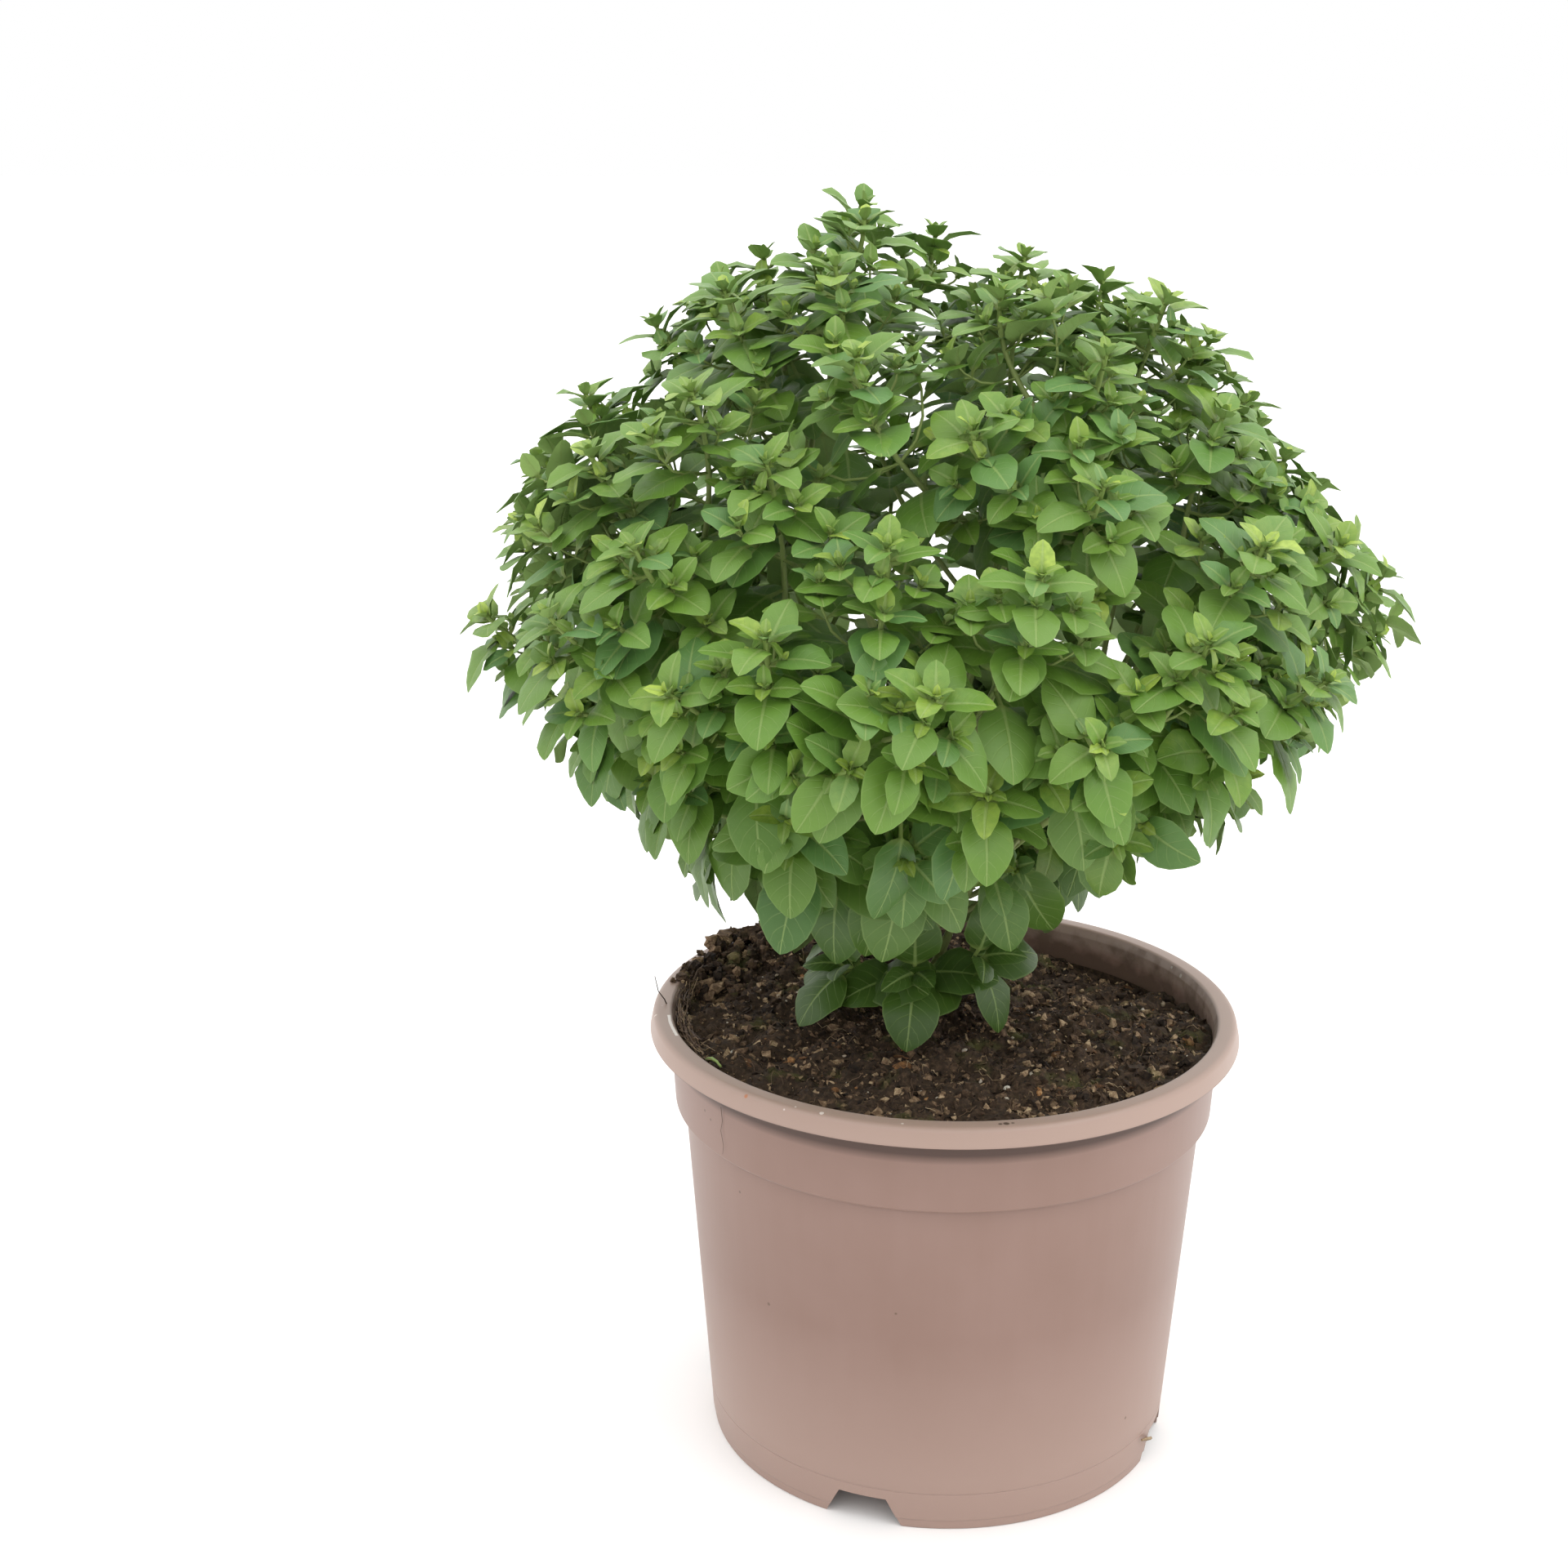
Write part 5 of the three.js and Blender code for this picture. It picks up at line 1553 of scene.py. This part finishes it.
def crust_height(x, y):
    """The soil's height with its rough crust."""
    place = Vector((x, y, 0)) * CRUST_GRAINS_PER_METRE
    grains = noise.fractal(place, CRUST_FALLOFF, CRUST_STEP, CRUST_LAYERS)
    rough = CRUST_GRAIN_SHARE * grains + CRUST_LUMP_SHARE * abs(noise.noise(place * CRUST_LUMP_SCALE))
    return soil_height(x, y) + CRUST_HEIGHT * (rough - CRUST_SINK)


def soil_mesh():
    sides = all_round(SOIL_SEGMENTS)
    rings = [[side * radius * MM + UP * height * MM for side in sides]
             for radius, height in reversed(SOIL_SIDE)]
    for ring in range(SOIL_RINGS, 0, -1):
        spots = [side * (SOIL_EDGE * ring / SOIL_RINGS) for side in sides]
        rings.append([spot + UP * crust_height(spot.x, spot.y) for spot in spots])
    mesh = ring_mesh("soil_fine", UP * (SOIL_SIDE[-1][1] * MM), UP * crust_height(0, 0), rings)
    shade_smooth(mesh, SOIL_SHARP_ANGLE)
    return mesh


PEAT_COLOURS = [
    (0.0, paint("1e1712")),
    (0.3, paint("3a2d22")),
    (0.55, paint("574535")),
    (0.8, paint("836b53")),
    (1.0, paint("b59e7e")),
]
ALGAE = paint("55582a")
ALGAE_SHARE = 0.5
ALGAE_SCALE, ALGAE_LEVEL, ALGAE_EDGE = 95, 0.59, 9
GRAIN_SCALE, GRAIN_PULL = 900, 1.2
DAMP_SCALE, DAMP_PULL = 60, 0.3
BLOCK_TINT = 0.3


def soil_finish(name, stops, roughness):
    """A dull finish whose colours run from dark to pale, by the tint of each crumb and by fine noise."""
    material, sheet, shader = material_sheet(name, Specular_IOR_Level=0.25)
    place = sheet.place()
    grain, damp = sheet.noise(place, GRAIN_SCALE, 4, 0.7), sheet.noise(place, DAMP_SCALE)
    share = sheet.kept("tint") + (grain - 0.5) * GRAIN_PULL + (damp - 0.5) * DAMP_PULL
    colour = sheet.ramp(stops, share)
    algae = sheet.clamp((sheet.noise(place, ALGAE_SCALE, 3) - ALGAE_LEVEL) * ALGAE_EDGE)
    colour = sheet.mix(algae * ALGAE_SHARE, colour, ALGAE)
    sheet.finish(shader, colour, roughness + grain * 0.1, grain, 0.8, 0.4 * MM)
    return material


peat_material = soil_finish("potting_soil", PEAT_COLOURS, 0.85)
soil = bpy.data.objects.new("soil_fine", soil_mesh())
bpy.context.scene.collection.objects.link(soil)
soil.data.materials.append(peat_material)
tint = soil.data.attributes.new("tint", "FLOAT", "POINT")
tint.data.foreach_set("value", [BLOCK_TINT] * len(soil.data.vertices))
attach(soil, "root")
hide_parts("soil")
print("triangles in the soil:", triangle_count(soil))

# %% Tree that strews crumbs


def crumb_tree():
    growth = Growth("Strewn crumbs", {
        "Density": ("Float", 1000.0),
        "Least size": ("Float", 0.3 * MM),
        "Largest size": ("Float", 1.0 * MM),
        "Flatness": ("Float", 0.6),
        "Detail": ("Int", 1),
        "Ruggedness": ("Float", 0.3),
        "Least tint": ("Float", 0.0),
        "Largest tint": ("Float", 1.0),
        "Seed": ("Int", 1),
        "Finish": ("Material", None),
    })
    seed = growth.given.out("Seed")
    points = growth.node("GeometryNodeDistributePointsOnFaces", {"distribute_method": "RANDOM"}, {
        "Mesh": growth.given.out("Geometry"), "Density": growth.given.out("Density"), "Seed": seed})
    ball = growth.node("GeometryNodeMeshIcoSphere", {}, {
        "Radius": 1, "Subdivisions": growth.given.out("Detail")})
    chance = growth.draw(0, 1, seed + 1)
    least, largest = growth.given.out("Least size"), growth.given.out("Largest size")
    size = (least + (largest - least) * chance ** 3) / 2
    shape = growth.draw((0.7, 0.5, 0.5), (1.5, 1.0, 1.0), seed + 2, "FLOAT_VECTOR")
    flat = growth.node("ShaderNodeCombineXYZ", {}, {"X": 1, "Y": 1, "Z": growth.given.out("Flatness")})
    turn = growth.draw((-0.5, -0.5, -3.2), (0.5, 0.5, 3.2), seed + 3, "FLOAT_VECTOR")
    crumbs = growth.node("GeometryNodeInstanceOnPoints", {}, {
        "Points": points, "Instance": ball, "Rotation": turn, "Scale": shape * flat * size})
    shade = growth.draw(growth.given.out("Least tint"), growth.given.out("Largest tint"), seed + 4)
    crumbs = growth.store(crumbs, "tint", shade, domain="INSTANCE")
    crumbs = growth.store(crumbs, "size", size, domain="INSTANCE")
    crumbs = growth.node("GeometryNodeRealizeInstances", {}, {"Geometry": crumbs})
    jolt = growth.draw((-1, -1, -1), (1, 1, 1), seed + 5, "FLOAT_VECTOR")
    offset = jolt * (growth.read("size") * growth.given.out("Ruggedness"))
    crumbs = growth.node("GeometryNodeSetPosition", {}, {"Geometry": crumbs, "Offset": offset})
    growth.result(growth.node("GeometryNodeSetMaterial", {}, {
        "Geometry": crumbs, "Material": growth.given.out("Finish")}))
    return growth


strewn_crumbs = crumb_tree()
print("nodes in the tree:", len(strewn_crumbs.tree.nodes))

# %% Strew the crumbs
BARK_COLOURS = [(0, paint("3a281c")), (0.5, paint("66482f")), (0.8, paint("94683f")), (1, paint("b8946a"))]
PERLITE_COLOURS = [(0, paint("84705a")), (0.5, paint("a59682")), (0.8, paint("bdb5a8")), (1, paint("dcd7cd"))]
STREW_FROM, STREW_RADIUS = 1 * MM, 62.6 * MM
CLOD_BEARINGS = (math.radians(126), math.radians(168))
CLOD_REACHES = (50 * MM, 66.8 * MM)
CLOD_TOP = 110 * MM
CLOD_WALL, CLOD_LEDGE = 64.2 * MM, 107.7 * MM
STREW_RINGS = 40
STREW_SEGMENTS = 96
CRUMB_SHARP_ANGLE = 50


def ground_mesh(bearings, reaches, height_at):
    """A bare patch to strew crumbs on, between two bearings and two distances from the pot's axis."""
    points = []
    for ring in range(STREW_RINGS + 1):
        reach = between(ring / STREW_RINGS, *reaches)
        for i in range(STREW_SEGMENTS + 1):
            side = level(between(i / STREW_SEGMENTS, *bearings)) * reach
            points.append(side + UP * height_at(side.x, side.y))
    row = STREW_SEGMENTS + 1
    faces = [(ring * row + i, (ring + 1) * row + i, (ring + 1) * row + i + 1, ring * row + i + 1)
             for ring in range(STREW_RINGS) for i in range(STREW_SEGMENTS)]
    mesh = bpy.data.meshes.new("ground")
    mesh.from_pydata(points, [], faces)
    return mesh


def clod_height(x, y):
    """The clods rise outwards, most in the middle of their patch. The outermost lie on the pot's wall."""
    reach = math.hypot(x, y)
    bearing = math.atan2(y, x) - sum(CLOD_BEARINGS) / 2
    share = math.cos(bearing * math.pi / (CLOD_BEARINGS[1] - CLOD_BEARINGS[0]))
    share *= (reach - CLOD_REACHES[0]) / (CLOD_REACHES[1] - CLOD_REACHES[0])
    height = between(share, crust_height(x, y), max(CLOD_TOP, crust_height(x, y)))
    return max(height, CLOD_LEDGE) if reach > CLOD_WALL else height


def whole_top():
    return ground_mesh((0, 2 * math.pi), (STREW_FROM, STREW_RADIUS), crust_height)


def strew(name, ground, **inputs):
    """Strews one kind of crumb over a patch of ground, with the tree's inputs named by underscored words."""
    named = {title.replace("_", " "): value for title, value in inputs.items()}
    piece = run_nodes(name, ground, strewn_crumbs, named)
    shade_smooth(piece.data, CRUMB_SHARP_ANGLE)
    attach(piece, "root")
    print(name, "has", triangle_count(piece), "triangles")
    return piece


strew("peat_crumbs", whole_top(), Seed=11, Finish=peat_material, Density=440000.0, Detail=1,
      Least_size=0.4 * MM, Largest_size=2.8 * MM, Flatness=0.75, Ruggedness=0.6,
      Least_tint=0.0, Largest_tint=0.95)
bark_material = soil_finish("bark", BARK_COLOURS, 0.8)
strew("bark_chips", whole_top(), Seed=23, Finish=bark_material, Density=9000.0, Detail=2,
      Least_size=0.7 * MM, Largest_size=3.2 * MM, Flatness=0.35, Ruggedness=0.2,
      Least_tint=0.0, Largest_tint=0.8)
perlite_material = soil_finish("perlite", PERLITE_COLOURS, 0.75)
strew("perlite_grains", whole_top(), Seed=37, Finish=perlite_material, Density=11000.0, Detail=2,
      Least_size=0.4 * MM, Largest_size=1.8 * MM, Flatness=0.8, Ruggedness=0.2,
      Least_tint=0.1, Largest_tint=0.9)
clod_ground = ground_mesh(CLOD_BEARINGS, CLOD_REACHES, clod_height)
strew("rim_clods", clod_ground, Seed=41, Finish=peat_material, Density=330000.0, Detail=2,
      Least_size=1.0 * MM, Largest_size=5.0 * MM, Flatness=0.9, Ruggedness=0.3,
      Least_tint=0.1, Largest_tint=0.8)
print("crumbs lie on the soil")

# %% [markdown]
# ## Loose roots
#
# Fine roots lie about on the soil of a pot that has been watered for long. Curves with a bevel could draw
# them, but the stem's tree is there already and does it too: a root is a line of points, thinner than a
# stem. Most lie on the soil. A mat of them has grown along the wall at the left, where one long hair stands
# up over the rim. One root has grown out of a notch, a thread of lint clings to the collar, and a sliver of
# green lies at the wall.

# %% Loose roots and the root mat
LOOSE_ROOT_COUNT = 420
LOOSE_ROOT_STEPS = 6
LOOSE_ROOT_SPREAD = 0.96
LOOSE_ROOT_STRIDES = (0.3, 1.3)
LOOSE_ROOT_RADII = (0.04, 0.1)
LOOSE_ROOT_REST, LOOSE_ROOT_ARCH = 0.35, 1.2
LOOSE_ROOT_WANDER = 0.6
MAT_ROOT_COUNT = 320
MAT_ROOT_STEPS = 7
MAT_BEARINGS = (math.radians(158), math.radians(204))
MAT_SWINGS = (0.02, 0.16)
MAT_REACHES, MAT_WALL = (61.2, 63.9), 64.1
MAT_HEIGHTS, MAT_TOP = (101.5, 107.6), 108.4
MAT_RISE = 3
MAT_ROOT_RADII = (0.05, 0.15)
MAT_WAVE_OUT, MAT_WAVE_UP = 0.5, 0.8
FIBRE_COLOURS = [(0, paint("33241a")), (0.4, paint("5f4936")), (0.8, paint("8d7658")), (1, paint("b09c7c"))]


def loose_root(number):
    """A root that wanders over the soil, arched a little. Its strides, radius and arch are in millimetres."""
    reach = SOIL_RADIUS * LOOSE_ROOT_SPREAD * draw(number, 51) ** 0.5
    place = level(2 * math.pi * draw(number, 52)) * reach
    heading = 2 * math.pi * draw(number, 53)
    stride = between(draw(number, 54) ** 2, *LOOSE_ROOT_STRIDES) * MM
    radius = between(draw(number, 55), *LOOSE_ROOT_RADII) * MM
    line = []
    for step in range(LOOSE_ROOT_STEPS + 1):
        arch = LOOSE_ROOT_ARCH * draw(number, 56) * math.sin(math.pi * step / LOOSE_ROOT_STEPS)
        height = crust_height(place.x, place.y) + (LOOSE_ROOT_REST + arch) * MM
        line.append((Vector((place.x, place.y, height)), radius, draw(number, 57) ** 3))
        heading += either_way(number, 58, step) * LOOSE_ROOT_WANDER
        place = place + level(heading) * stride
    return [point for point in line if point[0].to_2d().length < SOIL_EDGE]


def mat_root(number):
    """A root of the mat, which runs round the wall and wanders in and out, up and down, in millimetres."""
    bearing = between(draw(number, 61), *MAT_BEARINGS)
    swing = between(draw(number, 62), *MAT_SWINGS) * (1 if draw(number, 63) > 0.5 else -1)
    reach = between(draw(number, 64), *MAT_REACHES) * MM
    height = between(draw(number, 65), *MAT_HEIGHTS) * MM
    rise = either_way(number, 66) * MAT_RISE * MM
    line = []
    for step in range(MAT_ROOT_STEPS + 1):
        share = step / MAT_ROOT_STEPS
        out = reach + MAT_WAVE_OUT * MM * noise.noise(Vector((number, share * 3, 0)))
        point = level(bearing + swing * share) * min(out, MAT_WALL * MM) + UP * (height + rise * share)
        wave = MAT_WAVE_UP * MM * noise.noise(Vector((number, share * 4, 9)))
        point.z = min(point.z + wave, MAT_TOP * MM)
        line.append((point, between(draw(number, 67), *MAT_ROOT_RADII) * MM, 0.75 * draw(number, 68)))
    return line


def fibre_finish():
    material, sheet, shader = material_sheet("root_fibre", Roughness=0.75)
    share = sheet.kept("age") + (sheet.noise(sheet.place(), 1100) - 0.5) * 0.5
    sheet.plug(shader.inputs["Base Color"], sheet.ramp(FIBRE_COLOURS, share))
    return material


root_lines = [line for line in map(loose_root, range(LOOSE_ROOT_COUNT)) if len(line) > 2]
root_lines += map(mat_root, range(MAT_ROOT_COUNT))
print("roots on the soil and in the mat:", len(root_lines))

# %% Hair, lint, notch root and sliver
# each thread: its radius in millimetres, the age that gives its colour, and its points in millimetres
HAIR = (0.2, 0, [
    (-64.2, 0.5, 103), (-65.4, 0.2, 105.6), (-66.6, 0, 108.6), (-68.0, 0, 110.6), (-68.8, 0, 114.5)])
LINT = (0.06, 0.2, [
    (-52.2, -39.2, 98.6), (-51.9, -38.9, 95), (-52.3, -38.3, 92.4), (-51.7, -38.9, 89), (-51.9, -38.4, 86.6)])
NOTCH_ROOT = (0.5, 0.8, [(48.5, -25.5, 4.5), (50.2, -27.4, 6.2), (48.9, -29.8, 7.6), (47.3, -31.8, 8.4)])
SLIVER = (0.5, 0.1, [
    (-55.6, -27.2, 105.0), (-54.4, -29.8, 106.3), (-53.2, -32.2, 106.6), (-52.3, -34.0, 106.2)])
THREAD_TAPER = 0.6
FIBRE_SIDES, SLIVER_SIDES = 5, 6


def tapered(radius, age, points):
    return [(Vector(point) * MM, radius * MM * (1 - THREAD_TAPER * i / len(points)), age)
            for i, point in enumerate(points)]


def make_fibres(name, lines, sides, finish):
    fibres = run_nodes(name, points_mesh(name, lines, []), leafy_stem, {
        "Stem sides": sides, "Leaf finish": leaf_material, "Stem finish": finish})
    print(name, "has", triangle_count(fibres), "triangles")
    return fibres


root_lines += [tapered(*thread) for thread in (HAIR, LINT, NOTCH_ROOT)]
roots = make_fibres("loose_roots", root_lines, FIBRE_SIDES, fibre_finish())
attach(roots, "root")
sliver = make_fibres("green_sliver", [tapered(*SLIVER)], SLIVER_SIDES, stem_material)
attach(sliver, "root")
